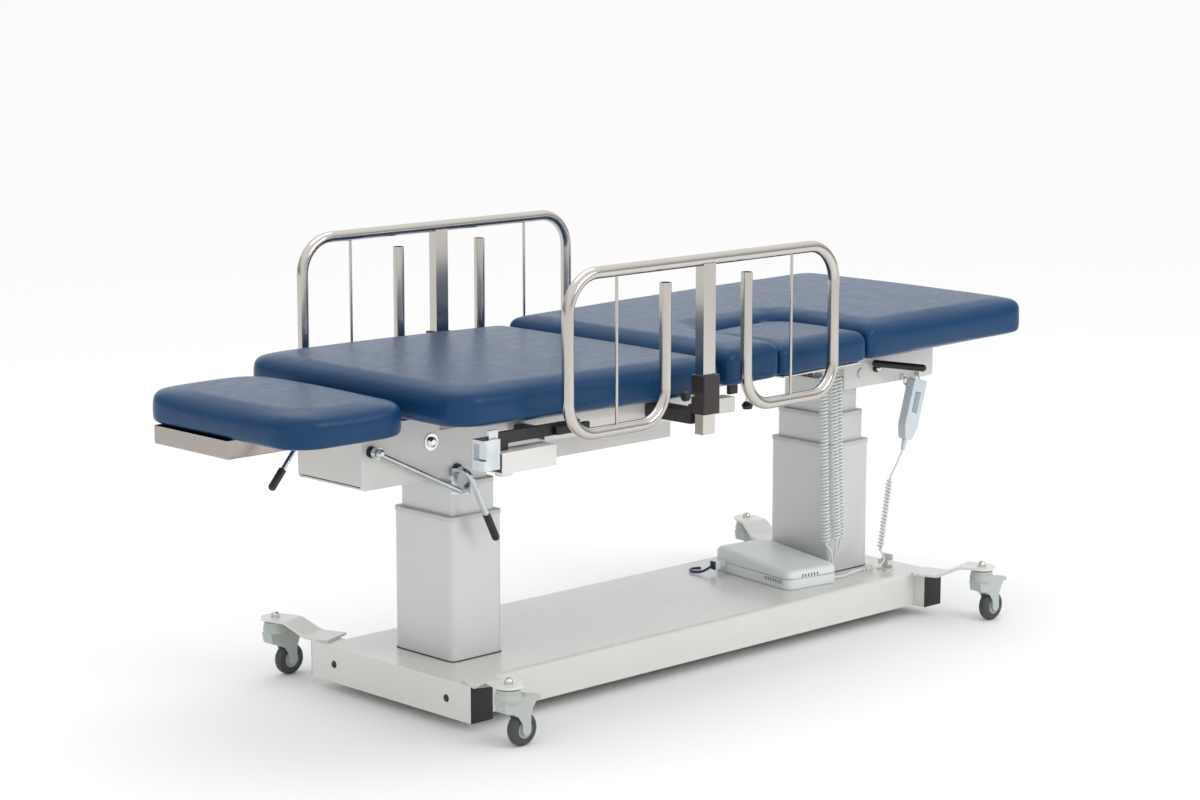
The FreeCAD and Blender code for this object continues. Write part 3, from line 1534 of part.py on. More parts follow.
def handset_outline(width_top, width_bottom, y0, y1):
    half = handset_length / 2
    points = [
        V(-width_bottom / 2, y0, -half), V(width_bottom / 2, y0, -half), V(width_top / 2, y0, -half + 34),
        V(width_top / 2, y0, half), V(-width_top / 2, y0, half), V(-width_top / 2, y0, -half + 34),
    ]
    return prism(points, V(0, y1 - y0, 0))


def handset_body():
    half_t = handset_thickness / 2
    body = handset_outline(handset_width, handset_width * 0.5, -half_t, half_t)
    along_y = [e for e in body.Edges if abs(abs(e.Vertexes[0].Y - e.Vertexes[1].Y) - handset_thickness) < 1e-6]
    body = body.makeFillet(9, along_y)
    key_well = box(-10.5, 10.5, -half_t - 1, -half_t + 4, -8, 46)
    body = body.cut(key_well)
    half = handset_length / 2
    relief = Part.makeCone(8, 4.5, 30, V(0, 0, -half), V(0, 0, -1))
    strap = box(-14, 14, half_t, half_t + 3, half - 40, half - 6)
    top_hook = box(-14, 14, half_t - 2, half_t + 12, half - 8, half - 4)
    lip = box(-14, 14, half_t + 9, half_t + 12, half - 18, half - 4)
    return handset_place(body.fuse([relief, strap, top_hook, lip]))


def handset_rocker():
    """Up and down key on a cross pivot in the handset's face."""
    half_t = handset_thickness / 2
    key = box(-9.5, 9.5, -half_t - 1.5, -half_t + 1.6, -7, 45)
    pivot = rod(V(-9.5, -half_t + 1.8, 19), V(9.5, -half_t + 1.8, 19), 1.5)
    key = key.makeFillet(1.2, [e for e in key.Edges if all(abs(v.Y + half_t + 1.5) < 1e-6 for v in e.Vertexes)])
    return handset_place(key.fuse(pivot))


def handset_hook():
    """Wire bail on two lugs of the head yoke that the handset hangs on."""
    z = hook_start_z
    y = hook_plane_y
    x0 = handset_hook_x() - hook_width / 2
    x1 = handset_hook_x() + hook_width / 2
    path = bent_path([V(x0, y, z), V(x0, y, z - hook_drop), V(x1, y, z - hook_drop), V(x1, y, z)], [10.0, 10.0])
    hook = round_tube(path, hook_wire_radius)
    for x in (x0, x1):
        hook = hook.fuse(box(x - 4, x + 4, y - 3, -head_yoke_half_width, z - 4, z + 6))
    return hook


def handset_hook_x():
    return handset_x + (handset_length / 2 - 10) * math.sin(math.radians(handset_lean))


# Cords: each is drawn as plain tubes, a curly stretch as one fat tube of its outer size


def cord_tube(points, radius):
    if len(points) == 2:
        return rod(points[0], points[1], radius)
    radii = []
    for a, b, c in zip(points, points[1:], points[2:]):
        shorter = min((b - a).Length, (c - b).Length)
        turn = math.pi - (a - b).getAngle(c - b)
        radii.append(0.45 * shorter / math.tan(turn / 2))
    print("cord arc radii:", [round(r, 1) for r in radii])
    return round_tube(bent_path(points, radii), radius)


def motor_cord(curl_route, tail_route):
    """Curly length that hangs from the frame, with a thin tail into the control box."""
    curl = cord_tube(curl_route, curl_radius)
    tail = cord_tube(tail_route, lead_radius)
    return Part.makeCompound([curl, tail])


def motor_cords():
    first = motor_cord(
        [V(634, -138, 650), V(636, -140, 430), V(649, -140, 203)],
        [V(649, -140, 203), V(672, -142, 178), V(678, -136, 128), V(658.8, -130, 124)],
    )
    second = motor_cord(
        [V(660, -146, 650), V(664, -149, 430), V(679, -148, 206)],
        [V(679, -148, 206), V(690, -136, 164), V(690, -114, 124), V(662.2, -106, 124)],
    )
    third = motor_cord(
        [V(686, -138, 650), V(690, -140, 430), V(707, -138, 206)],
        [V(707, -138, 206), V(703, -130, 160), V(693, -96, 124), V(665.4, -84, 124)],
    )
    return Part.makeCompound([first, second, third])


def handset_cord():
    """Down from the handset, a long curl to the clip, a few loose turns, then along the tray to the box."""
    drop = cord_tube([V(911.6, -164, 411.8), V(902, -158, 384), V(881, -150, 343)], lead_radius)
    curl = cord_tube([V(881, -150, 343), V(847, -150, 159)], handset_curl_radius)
    through_clip = cord_tube([V(847, -150, 159), V(850, -164, 140), V(838, -168, 128), V(812, -164, 122)], lead_radius)
    loose = cord_tube([V(812, -164, 122), V(772, -156, 122)], handset_curl_radius)
    along = cord_tube([V(772, -156, 122), V(730, -152, 118), V(690, -162, 116), V(655.2, -158, 120)], lead_radius)
    return Part.makeCompound([drop, curl, through_clip, loose, along])


def mains_cord():
    """Short loop of cord on the tray behind the plug, going down through the cover."""
    return cord_tube(
        [V(486.5, 103.6, 131.8), V(462, 112, 116), V(452, 146, 116), V(478, 172, 116), V(504, 160, 114.6)], mains_radius
    )


def export_all(parts):
    os.makedirs("parts", exist_ok=True)
    for name, shape in parts.items():
        if not shape.isValid():
            print("not valid:", name)
        shape.exportStep("parts/" + name + ".step")
    print(len(parts), "parts")


def build():
    parts = {
        "base_frame": base_frame(),
        "base_tray": base_tray(),
        "end_caps_and_plugs": Part.makeCompound([end_caps(), hole_plugs()]),
        "caster_arms": caster_arms(),
        "caster_cap_nuts": cap_nuts(),
    }
    for name, x, y, _, _ in caster_places():
        parts["caster_fork_" + name] = caster_fork(x, y)
        parts["caster_brake_" + name] = brake_pedal(x, y)
        parts["caster_wheel_" + name] = caster_wheel(x, y)
    for name, x in column_xs.items():
        parts[name + "_column_outer"] = column_stage(x, 0, base_top, outer_top)
        parts[name + "_column_middle"] = column_stage(x, 1, middle_top - middle_stage_height, middle_top)
    foot_inner = column_stage(foot_column_x, 2, inner_top - inner_stage_height, inner_top)
    head_inner = column_stage(head_column_x, 2, inner_top - inner_stage_height, inner_top)
    parts["foot_column_inner"] = Part.makeCompound([foot_inner, foot_bracket()])
    parts["head_column_inner"] = Part.makeCompound([head_inner, head_bracket()])
    parts["foot_pivot_bolts"] = foot_pivot_bolts()
    parts["head_pivot_shaft"] = head_pivot_shaft()
    parts["main_frame"] = main_frame()
    parts["shaft_bushes"] = shaft_bushes()
    parts["seat_frame"] = Part.makeCompound([seat_frame(), seat_hinge_leaf(), seat_bearers()])
    parts["seat_pad"] = seat_pad()
    parts["stirrup_sockets"] = stirrup_sockets()
    parts["socket_clamps"] = socket_clamps()
    parts["accessory_rails"] = accessory_rails()
    parts["rail_clamp_blocks"] = Part.makeCompound([clamp_block(-1), clamp_block(1)])
    parts["foot_pad"] = foot_pad()
    parts["foot_deck"] = foot_deck()
    parts["foot_pan"] = foot_pan()
    parts["side_rod"] = side_rod()
    parts["foot_lever"] = foot_lever()
    parts["hook_lever"] = hook_lever()
    parts["back_frame"] = back_frame()
    parts["back_pad"] = back_pad()
    parts["window_pad"] = window_pad()
    parts["window_board"] = window_board()
    parts["window_release_knob"] = window_release_knob()
    parts["head_lever"] = head_lever()
    parts["head_lever_bolt"] = head_lever_bolt()
    for name, side in (("near", -1), ("far", 1)):
        parts["side_rail_" + name] = rail_loop(side)
        parts["rail_knob_" + name] = rail_knob(side)
    parts["control_box_base"] = control_box_base()
    parts["control_box_lid"] = control_box_lid()
    parts["mains_inlet"] = mains_inlet()
    parts["cord_clip"] = cord_clip()
    parts["handset_body"] = handset_body()
    parts["handset_rocker"] = handset_rocker()
    parts["handset_hook"] = handset_hook()
    parts["motor_cords"] = motor_cords()
    parts["handset_cord"] = handset_cord()
    parts["mains_cord"] = mains_cord()
    return parts


export_all(build())
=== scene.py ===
import math

import bmesh
import bpy
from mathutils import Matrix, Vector


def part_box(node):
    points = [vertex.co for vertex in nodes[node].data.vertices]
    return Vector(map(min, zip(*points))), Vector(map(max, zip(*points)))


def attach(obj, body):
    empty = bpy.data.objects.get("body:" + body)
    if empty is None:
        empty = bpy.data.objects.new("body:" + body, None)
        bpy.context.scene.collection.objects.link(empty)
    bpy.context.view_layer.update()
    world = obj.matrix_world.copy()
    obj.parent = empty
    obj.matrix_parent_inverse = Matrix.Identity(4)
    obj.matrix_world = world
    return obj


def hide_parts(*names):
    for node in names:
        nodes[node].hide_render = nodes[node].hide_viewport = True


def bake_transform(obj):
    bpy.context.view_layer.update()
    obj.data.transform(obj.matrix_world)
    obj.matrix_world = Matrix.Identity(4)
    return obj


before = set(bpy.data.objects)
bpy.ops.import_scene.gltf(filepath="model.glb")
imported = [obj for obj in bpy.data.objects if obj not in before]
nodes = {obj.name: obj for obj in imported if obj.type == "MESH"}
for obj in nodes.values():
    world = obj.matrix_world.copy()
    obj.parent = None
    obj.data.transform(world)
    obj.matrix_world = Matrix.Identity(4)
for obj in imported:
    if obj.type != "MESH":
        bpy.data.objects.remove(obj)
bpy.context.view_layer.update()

# The photograph's camera
CAMERA_PLACE = (-4.7311, -4.9322, 1.8202)
CAMERA_DOWN, CAMERA_YAW = 9.853, 46.236 - 90
CAMERA_RIGHT = (0.722, -0.692, 0.0)

# Control box: centre, turn about the upright axis, half sizes, lid
BOX_X, BOX_Y = 0.590, -0.022
BOX_TURN = math.radians(-8.0)
BOX_HALF_X, BOX_HALF_Y, BOX_CORNER = 0.082, 0.150, 0.022
BOX_FLOOR_Z = 0.1135
LID_SEAM_Z = 0.1375
LID_EDGE = 0.013
LID_LOW, LID_RISE, LID_FALL, LID_PEAK = 0.021, 0.019, 0.006, 0.8

TRAY_TOP_Z = 0.1112
GASKET_HALF_X, GASKET_HALF_Y, GASKET_CORNER = 0.0782, 0.1036, 0.0155

# Places where one node changes its finish
LATCH_FACE_Y, LATCH_END_X = -0.3004, 0.150
CATCH_TOP_Z, CATCH_END_Y = 0.6975, -0.25
HINGE_X, HINGE_Z, HINGE_PIN_REACH = 0.026, 0.765, 0.0045
COLLAR_HEIGHT = 0.0125
COLUMN_BRACKET_Z = 0.600
CASTER_STEM_Z = 0.1385
HUB_REACH = 0.0202
HEAD_BRACKET_Y = 0.1345
FOOT_GRIP_Z, HOOK_GRIP_Z = 0.6245, 0.4535
KNOB_TOP_Z = 0.641
HANDSET_LUG_Z, HANDSET_LUG_Y = 0.5965, -0.1485
RAIL_KNOB_FACE_X = -0.1735
INLET_PLUG_X = 0.4915

# Cushions
CLOTH_FRAMES = 12
ROOM_TO_SWELL = 0.0015
SETTLE_ROUNDS = 5
PAD_EDGE_Y = -0.36
PLEAT_X = (0.055, 0.19, 0.55)

# Cords: wire radius, a curl's outer radius and the pitch of its turns
MOTOR_WIRE, MOTOR_CURL, MOTOR_PITCH = 0.0032, 0.0120, 0.0088
MOTOR_CORD_TOP_Z = 0.6452
LEAD_WIRE = 0.0027
MAINS_WIRE = 0.0032
TURN_POINTS = 12


def link(obj):
    bpy.context.scene.collection.objects.link(obj)
    return obj


def apply_modifier(obj, modifier):
    bpy.ops.object.select_all(action="DESELECT")
    obj.select_set(True)
    bpy.context.view_layer.objects.active = obj
    bpy.ops.object.modifier_apply(modifier=modifier.name)


def evaluated_mesh(obj):
    """A new mesh of the shape that the object has with its bevel and modifiers."""
    bpy.context.view_layer.update()
    return bpy.data.meshes.new_from_object(obj.evaluated_get(bpy.context.evaluated_depsgraph_get()))


# Camera


def add_camera():
    data = bpy.data.cameras.new("camera")
    data.sensor_fit = "HORIZONTAL"
    data.sensor_width = 36.0
    data.lens = 87.31
    data.clip_end = 60.0
    camera = link(bpy.data.objects.new("camera", data))
    camera.location = CAMERA_PLACE
    camera.rotation_euler = (math.radians(90 - CAMERA_DOWN), 0.0, math.radians(CAMERA_YAW))
    bpy.context.scene.camera = camera


# Materials


def new_material(name):
    material = bpy.data.materials.new(name)
    material.use_nodes = True
    tree = material.node_tree
    shader = tree.nodes["Principled BSDF"]
    return material, tree, shader


def object_coords(tree, scale=(1, 1, 1)):
    coords = tree.nodes.new("ShaderNodeTexCoord")
    mapping = tree.nodes.new("ShaderNodeMapping")
    mapping.inputs["Scale"].default_value = scale
    tree.links.new(coords.outputs["Object"], mapping.inputs["Vector"])
    return mapping.outputs["Vector"]


def noise_node(tree, vector, scale, detail):
    node = tree.nodes.new("ShaderNodeTexNoise")
    node.inputs["Scale"].default_value = scale
    node.inputs["Detail"].default_value = detail
    node.inputs["Roughness"].default_value = 0.55
    tree.links.new(vector, node.inputs["Vector"])
    return node.outputs["Fac"]


def ramp(tree, fac, stops):
    node = tree.nodes.new("ShaderNodeValToRGB")
    elements = node.color_ramp.elements
    elements[0].position, elements[0].color = stops[0][0], stops[0][1]
    elements[1].position, elements[1].color = stops[-1][0], stops[-1][1]
    for place, color in stops[1:-1]:
        element = elements.new(place)
        element.color = color
    tree.links.new(fac, node.inputs["Fac"])
    return node.outputs["Color"]


def bump(tree, height, strength, distance, normal=None):
    node = tree.nodes.new("ShaderNodeBump")
    node.inputs["Strength"].default_value = strength
    node.inputs["Distance"].default_value = distance
    tree.links.new(height, node.inputs["Height"])
    if normal is not None:
        tree.links.new(normal, node.inputs["Normal"])
    return node.outputs["Normal"]


def grey(value):
    return (value, value, value, 1.0)


def shaded(color, factor):
    return tuple(min(1.0, c * factor) for c in color) + (1.0,)


def surface(name, color, rough, metallic=0.0, coat=0.0, grain=900.0, grain_depth=0.00004, blotch=6.0,
            variation=0.04, rough_spread=0.06, stretch=(1, 1, 1)):
    """Coloured surface with slight blotches, uneven gloss and a fine relief."""
    material, tree, shader = new_material(name)
    soft = noise_node(tree, object_coords(tree), blotch, 3.0)
    base = ramp(tree, soft, [(0.3, shaded(color, 1 - variation)), (0.7, shaded(color, 1 + variation))])
    tree.links.new(base, shader.inputs["Base Color"])
    fine = noise_node(tree, object_coords(tree, stretch), grain, 5.0)
    gloss = ramp(tree, fine, [(0.3, grey(max(0.0, rough - rough_spread))), (0.7, grey(rough + rough_spread))])
    tree.links.new(gloss, shader.inputs["Roughness"])
    tree.links.new(bump(tree, fine, 0.5, grain_depth), shader.inputs["Normal"])
    shader.inputs["Metallic"].default_value = metallic
    shader.inputs["Coat Weight"].default_value = coat
    shader.inputs["Coat Roughness"].default_value = 0.12
    return material


def vinyl_material():
    """Navy upholstery vinyl: fine pebble grain, long soft waves, a semi-gloss finish."""
    material, tree, shader = new_material("vinyl_navy")
    place = object_coords(tree)
    soft = noise_node(tree, place, 3.5, 3.0)
    base = ramp(tree, soft, [(0.25, (0.005, 0.041, 0.112, 1)), (0.75, (0.007, 0.049, 0.132, 1))])
    tree.links.new(base, shader.inputs["Base Color"])
    cells = tree.nodes.new("ShaderNodeTexVoronoi")
    cells.inputs["Scale"].default_value = 900.0
    tree.links.new(place, cells.inputs["Vector"])
    pebble = bump(tree, cells.outputs["Distance"], 0.30, 0.0001)
    wave = noise_node(tree, place, 14.0, 2.0)
    relief = bump(tree, wave, 0.16, 0.004, pebble)
    tree.links.new(relief, shader.inputs["Normal"])
    gloss = ramp(tree, noise_node(tree, place, 40.0, 4.0), [(0.3, grey(0.27)), (0.7, grey(0.34))])
    tree.links.new(gloss, shader.inputs["Roughness"])
    shader.inputs["Specular IOR Level"].default_value = 0.22
    return material


materials = {
    "vinyl": vinyl_material(),
    "white": surface("white_powder_coat", (0.70, 0.69, 0.665), 0.26, coat=0.25, grain=700, grain_depth=0.00003,
                     variation=0.015),
    "silver": surface("satin_silver", (0.66, 0.67, 0.66), 0.38, metallic=0.30, grain=160, grain_depth=0.00002,
                      stretch=(6, 6, 0.12), rough_spread=0.05, variation=0.015),
    "stainless": surface("brushed_stainless", (0.56, 0.53, 0.495), 0.16, metallic=1.0, grain=300,
                         grain_depth=0.00002, stretch=(1, 4, 1), variation=0.03),
    # The pan's stainless is a darker, browner copy of the rails': painted shade for the pan under the foot pad.
    "pan": surface("stainless_in_painted_shade", (0.42, 0.385, 0.355), 0.30, metallic=1.0, grain=300, grain_depth=0.00002,
                   stretch=(1, 4, 1), variation=0.03),
    "zinc": surface("zinc_plate", (0.58, 0.62, 0.64), 0.20, metallic=1.0, grain=260, rough_spread=0.08, blotch=25,
                    variation=0.10),
    "chrome": surface("chrome", (0.72, 0.70, 0.68), 0.08, metallic=1.0, rough_spread=0.02, variation=0.01),
    # Black plastic parts, and painted shade in the lid's vent slots and the box's cavity.
    "black": surface("black_moulded_and_painted_shade", (0.012, 0.012, 0.013), 0.42, grain=1400, grain_depth=0.00005, variation=0.2),
    "dark": surface("brown_black_paint", (0.024, 0.017, 0.016), 0.42, grain=900, variation=0.15),
    "tyre": surface("grey_tyre", (0.050, 0.053, 0.058), 0.50, grain=900, grain_depth=0.00006, variation=0.1),
    "caster": surface("grey_green_moulded", (0.45, 0.49, 0.46), 0.38, grain=1100, grain_depth=0.00004),
    "shell": surface("pale_shell", (0.74, 0.78, 0.765), 0.32, grain=1300, grain_depth=0.00006, variation=0.02),
    "handset": surface("pale_blue_shell", (0.60, 0.66, 0.69), 0.34, grain=1300, grain_depth=0.00006),
    "cord": surface("cord_sheath", (0.70, 0.73, 0.72), 0.30, grain=600, coat=0.1),
    "lead": surface("white_lead", (0.76, 0.77, 0.76), 0.30, grain=600, coat=0.1),
    "blue": surface("dark_blue_moulded", (0.012, 0.025, 0.085), 0.38, grain=900, variation=0.15),
    "collar": surface("grey_green_collar", (0.57, 0.595, 0.575), 0.36, grain=900),
    "key": surface("key_grey", (0.30, 0.38, 0.44), 0.45, grain=900),
}


# Frame pieces keep their shape and get finished materials


def dress(node, first, *rules):
    """Gives a frame node its material, and other materials to the faces whose centre a rule accepts."""
    mesh = nodes[node].data
    mesh.materials.clear()
    mesh.materials.append(materials[first])
    for polygon in mesh.polygons:
        polygon.material_index = 0
    for index, (name, accepts) in enumerate(rules, start=1):
        mesh.materials.append(materials[name])
        for polygon in mesh.polygons:
            if accepts(polygon.center):
                polygon.material_index = index


PLAIN = {
    "white": ("base_frame", "base_tray", "caster_arms", "main_frame", "foot_deck", "cord_clip", "stirrup_sockets"),
    "black": ("end_caps_and_plugs", "shaft_bushes", "accessory_rails", "head_lever"),
    "chrome": ("caster_cap_nuts", "foot_pivot_bolts", "head_lever_bolt"),
    "zinc": ("socket_clamps", "side_rod"),
    "stainless": ("side_rail_near", "side_rail_far"),
    "pan": ("foot_pan",),
    "dark": ("rail_clamp_blocks",),
    "handset": ("handset_body",),
    "key": ("handset_rocker",),
}


def dress_frame():
    """Finishes of all frame nodes. A rule picks the faces of a node that have another finish."""
    for material, names in PLAIN.items():
        for name in names:
            dress(name, material)
    dress_top()
    for end in ("foot", "head"):
        dress_column(end)
        for side in ("near", "far"):
            dress_caster(end + "_" + side)
    # The box's cavity and vent slots take black as painted shade.
    dress("control_box_base", "shell", ("black", shaded_box_hollows))
    dress("mains_inlet", "shell", ("blue", lambda c: c.x < INLET_PLUG_X))
    dress("handset_hook", "zinc", ("white", lambda c: c.z > HANDSET_LUG_Z and c.y > HANDSET_LUG_Y))


def dress_top():
    """White sections with black latch and catch, zinc hinge pin, levers with black grips, knobs on zinc rods."""
    dress("back_frame", "white", ("black", lambda c: c.y < LATCH_FACE_Y and c.x < LATCH_END_X))
    dress("window_board", "white", ("black", lambda c: c.z < CATCH_TOP_Z and c.y < CATCH_END_Y))
    dress("seat_frame", "white",
          ("zinc", lambda c: math.hypot(c.x - HINGE_X, c.z - HINGE_Z) < HINGE_PIN_REACH))
    dress("foot_lever", "zinc", ("black", lambda c: c.z < FOOT_GRIP_Z))
    dress("hook_lever", "zinc", ("black", lambda c: c.z < HOOK_GRIP_Z))
    dress("window_release_knob", "black", ("zinc", lambda c: c.z > KNOB_TOP_Z))
    for side in ("near", "far"):
        dress("rail_knob_" + side, "black", ("zinc", lambda c: c.x > RAIL_KNOB_FACE_X))


def dress_column(end):
    """Satin stages with a pale collar round the top of the two that another stage runs in."""
    for stage in ("outer", "middle"):
        collar_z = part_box(end + "_column_" + stage)[1].z - COLLAR_HEIGHT
        dress(end + "_column_" + stage, "silver", ("collar", lambda c: c.z > collar_z))
    dress(end + "_column_inner", "silver", ("white", lambda c: c.z > COLUMN_BRACKET_Z))
    if end == "head":
        dress("head_pivot_shaft", "zinc", ("white", lambda c: abs(c.y) > HEAD_BRACKET_Y))


def dress_caster(name):
    dress("caster_fork_" + name, "caster", ("chrome", lambda c: c.z > CASTER_STEM_Z))
    dress("caster_brake_" + name, "caster")
    low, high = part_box("caster_wheel_" + name)
    axle = (low + high) / 2
    dress("caster_wheel_" + name, "tyre", ("caster", lambda c: math.hypot(c.x - axle.x, c.z - axle.z) < HUB_REACH))


def box_local(c):
    """Place in the control box's own level axes, from its centre."""
    x, y = c.x - BOX_X, c.y - BOX_Y
    return (x * math.cos(BOX_TURN) + y * math.sin(BOX_TURN),
            y * math.cos(BOX_TURN) - x * math.sin(BOX_TURN))


def box_placed(u, v, z):
    """Place in the frame of a point in the control box's own axes."""
    return (BOX_X + u * math.cos(BOX_TURN) - v * math.sin(BOX_TURN),
            BOX_Y + u * math.sin(BOX_TURN) + v * math.cos(BOX_TURN), z)


def shaded_box_hollows(c):
    """Faces of the box's cavity and of the vent slots in its long sides, painted black as the shade inside them.
    """
    skin = 0.0013
    slot_depth = 0.0001
    slot_low, slot_high = 0.1245, 0.1347
    u, v = box_local(c)
    beyond_u = max(0.0, abs(u) - (BOX_HALF_X - BOX_CORNER))
    beyond_v = max(0.0, abs(v) - (BOX_HALF_Y - BOX_CORNER))
    in_cavity = math.hypot(beyond_u, beyond_v) < BOX_CORNER - skin and c.z > BOX_FLOOR_Z
    in_slot = abs(u) < BOX_HALF_X - slot_depth and beyond_v == 0.0 and slot_low < c.z < slot_high
    return in_slot or in_cavity


def smooth_frame():
    """Shades the curved faces of the frame's nodes smooth and keeps their edges crisp."""
    for obj in nodes.values():
        mesh = obj.data
        for polygon in mesh.polygons:
            polygon.use_smooth = True
        mesh.set_sharp_from_angle(angle=math.radians(32))


# Moulded shells


def rounded_outline(half_x, half_y, radius, steps=6):
    """Points round a rectangle with round corners, anticlockwise."""
    points = []
    for turn, sx, sy in ((0, 1, 1), (90, -1, 1), (180, -1, -1), (270, 1, -1)):
        for i in range(steps + 1):
            angle = math.radians(turn + 90 * i / steps)
            points.append((sx * (half_x - radius) + radius * math.cos(angle),
                           sy * (half_y - radius) + radius * math.sin(angle)))
    return points


def stacked_rings(name, rings):
    """Closed skin through rings of equal count."""
    mesh = bpy.data.meshes.new(name)
    count = len(rings[0])
    verts = [p for ring in rings for p in ring]
    faces = []
    for k in range(len(rings) - 1):
        for i in range(count):
            j = (i + 1) % count
            faces.append((k * count + i, k * count + j, (k + 1) * count + j, (k + 1) * count + i))
    faces.append(tuple((len(rings) - 1) * count + i for i in range(count)))
    faces.append(tuple(reversed(range(count))))
    mesh.from_pydata(verts, [], faces)
    for polygon in mesh.polygons:
        polygon.use_smooth = True
    return link(bpy.data.objects.new(name, mesh))


def lid_height(v):
    """Height of the lid's top over its seam: low at the near end, highest past the middle."""
    share = (v / BOX_HALF_Y + 1) / 2
    rise = math.sin(min(1.0, share / LID_PEAK) * math.pi / 2)
    fall = max(0.0, share - LID_PEAK) / (1 - LID_PEAK)
    return LID_LOW + LID_RISE * rise - LID_FALL * fall * fall


def control_box_lid():
    """One-piece lid with a wide round edge, its top falling towards the near end."""
    middle_crown = 0.0012
    rings = []  # lip at the seam, round edge, crowned top

    def add_ring(inset, corner, height):
        outline = rounded_outline(BOX_HALF_X - inset, BOX_HALF_Y - inset, corner)
        rings.append([box_placed(u, v, LID_SEAM_Z + height(v)) for u, v in outline])

    for inset, lift in ((0.0015, 0.0), (0.0006, 0.0008), (0.0, 0.002)):
        add_ring(inset, BOX_CORNER, lambda v: lift)
    for step in range(7):
        angle = math.radians(15 * step)
        inset = LID_EDGE * (1 - math.cos(angle))
        add_ring(inset, BOX_CORNER - inset * 0.5, lambda v: lid_height(v) - LID_EDGE + LID_EDGE * math.sin(angle))
    for inset in (0.022, 0.034, 0.048, 0.064, 0.078):
        crown = middle_crown * math.sin(inset / BOX_HALF_X * math.pi / 2)
        add_ring(inset, max(0.003, BOX_CORNER - inset * 0.5), lambda v: lid_height(v) + crown)
    lid = stacked_rings("control_box_lid_shell", rings)
    lid.data.materials.append(materials["shell"])
    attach(lid, "base")
    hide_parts("control_box_lid")


def lid_vent_shade():
    """Dark inlays in the lid's near end, just over the seam, painted as the shade inside its vent slots."""
    first_u, spacing, slot_z = -0.034, 0.0095, 0.1442
    half_width, half_height, corner = 0.0016, 0.0040, 0.0010
    mesh = bmesh.new()
    for slot in range(6):
        slot_u = first_u + spacing * slot
        rings = []
        for grow, lift in ((0.0, -0.0006), (0.0, 0.0003), (-0.0005, 0.0005)):
            outline = rounded_outline(half_width + grow, half_height + grow, corner, 3)
            rings.append([mesh.verts.new(box_placed(slot_u + across, -BOX_HALF_Y - lift, slot_z + up))
                          for across, up in outline])
        count = len(rings[0])
        for lower, upper in zip(rings, rings[1:]):
            for i in range(count):
                j = (i + 1) % count
                mesh.faces.new((lower[i], lower[j], upper[j], upper[i]))
        mesh.faces.new(rings[-1])
        mesh.faces.new(list(reversed(rings[0])))
    bmesh.ops.recalc_face_normals(mesh, faces=mesh.faces)
    data = bpy.data.meshes.new("lid_vent_shade")
    mesh.to_mesh(data)
    mesh.free()
    shade_inlays = link(bpy.data.objects.new("lid_vent_shade", data))
    # Black here is painted shade: the dark inside of the vent slots.
    data.materials.append(materials["black"])
    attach(shade_inlays, "base")


def column_gaskets():
    """Thin dark gasket under each fixed column."""
    for end in ("foot", "head"):
        low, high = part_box(end + "_column_outer")
        x = (low.x + high.x) / 2
        rings = []
        for inset, lift in ((0.0, 0.0), (0.0, 0.0016), (0.0012, 0.0022)):
            outline = rounded_outline(GASKET_HALF_X - inset, GASKET_HALF_Y - inset, GASKET_CORNER - inset)
            rings.append([(x + u, v, TRAY_TOP_Z + lift) for u, v in outline])
        gasket = stacked_rings(end + "_column_gasket", rings)
        gasket.data.materials.append(materials["black"])
        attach(gasket, "base")


# Cushions


def swell(obj, cap):
    """Lets the cover swell under its own pressure, no point further than cap from where it started."""
    start = [v.co.copy() for v in obj.data.vertices]
    cloth = obj.modifiers.new("cloth", "CLOTH")
    settings = cloth.settings
    settings.quality = 5
    settings.mass = 0.3
    settings.tension_stiffness = 40
    settings.compression_stiffness = 40
    settings.bending_stiffness = 30
    settings.use_pressure = True
    settings.uniform_pressure_force = 2.5
    settings.effector_weights.gravity = 0.0
    cloth.point_cache.frame_start = 1
    cloth.point_cache.frame_end = CLOTH_FRAMES
    scene = bpy.context.scene
    for number in range(1, CLOTH_FRAMES + 1):
        scene.frame_set(number)
    apply_modifier(obj, cloth)
    scene.frame_set(1)
    for vertex, first in zip(obj.data.vertices, start):
        move = vertex.co - first
        if move.length > cap:
            vertex.co = first + move * (cap / move.length)


def relax(obj, rounds):
    """Rounds the edges and evens the surface."""
    smooth = obj.modifiers.new("smooth", "SMOOTH")
    smooth.factor = 0.5
    smooth.iterations = rounds
    apply_modifier(obj, smooth)


def pad_from(node, body, voxel, rounds, cap, crown, creases=()):
    """A stuffed vinyl cover that takes its outline from the frame's plain pad."""
    mesh = nodes[node].data.copy()
    obj = link(bpy.data.objects.new(node + "_cover", mesh))
    remesh = obj.modifiers.new("remesh", "REMESH")
    remesh.mode = "VOXEL"
    remesh.voxel_size = voxel
    apply_modifier(obj, remesh)
    for vertex, normal in zip(obj.data.vertices, [v.normal.copy() for v in obj.data.vertices]):
        vertex.co -= normal * ROOM_TO_SWELL
    relax(obj, rounds)
    swell(obj, cap)
    relax(obj, SETTLE_ROUNDS)
    low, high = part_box(node)
    for vertex in obj.data.vertices:
        crown_pad(vertex, low, high, crown)
        for crease in creases:
            crease(vertex)
    obj.data.materials.clear()
    obj.data.materials.append(materials["vinyl"])
    for polygon in obj.data.polygons:
        polygon.use_smooth = True
    subdivide = obj.modifiers.new("subdivide", "SUBSURF")
    subdivide.levels = 1
    subdivide.render_levels = 1
    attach(obj, body)
    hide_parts(node)


def crown_pad(vertex, low, high, crown):
    """Raises the top a little towards the middle and lowers it towards the edges."""
    edge_share = 0.6
    half_height = (high.z - low.z) / 2
    above = max(0.0, (vertex.co.z - (low.z + half_height)) / half_height)
    u = (vertex.co.x - low.x) / (high.x - low.x)
    v = (vertex.co.y - low.y) / (high.y - low.y)
    bulge = max(0.0, math.sin(math.pi * min(max(u, 0), 1)) * math.sin(math.pi * min(max(v, 0), 1)))
    vertex.co.z += crown * above * (bulge ** 0.5 - edge_share)


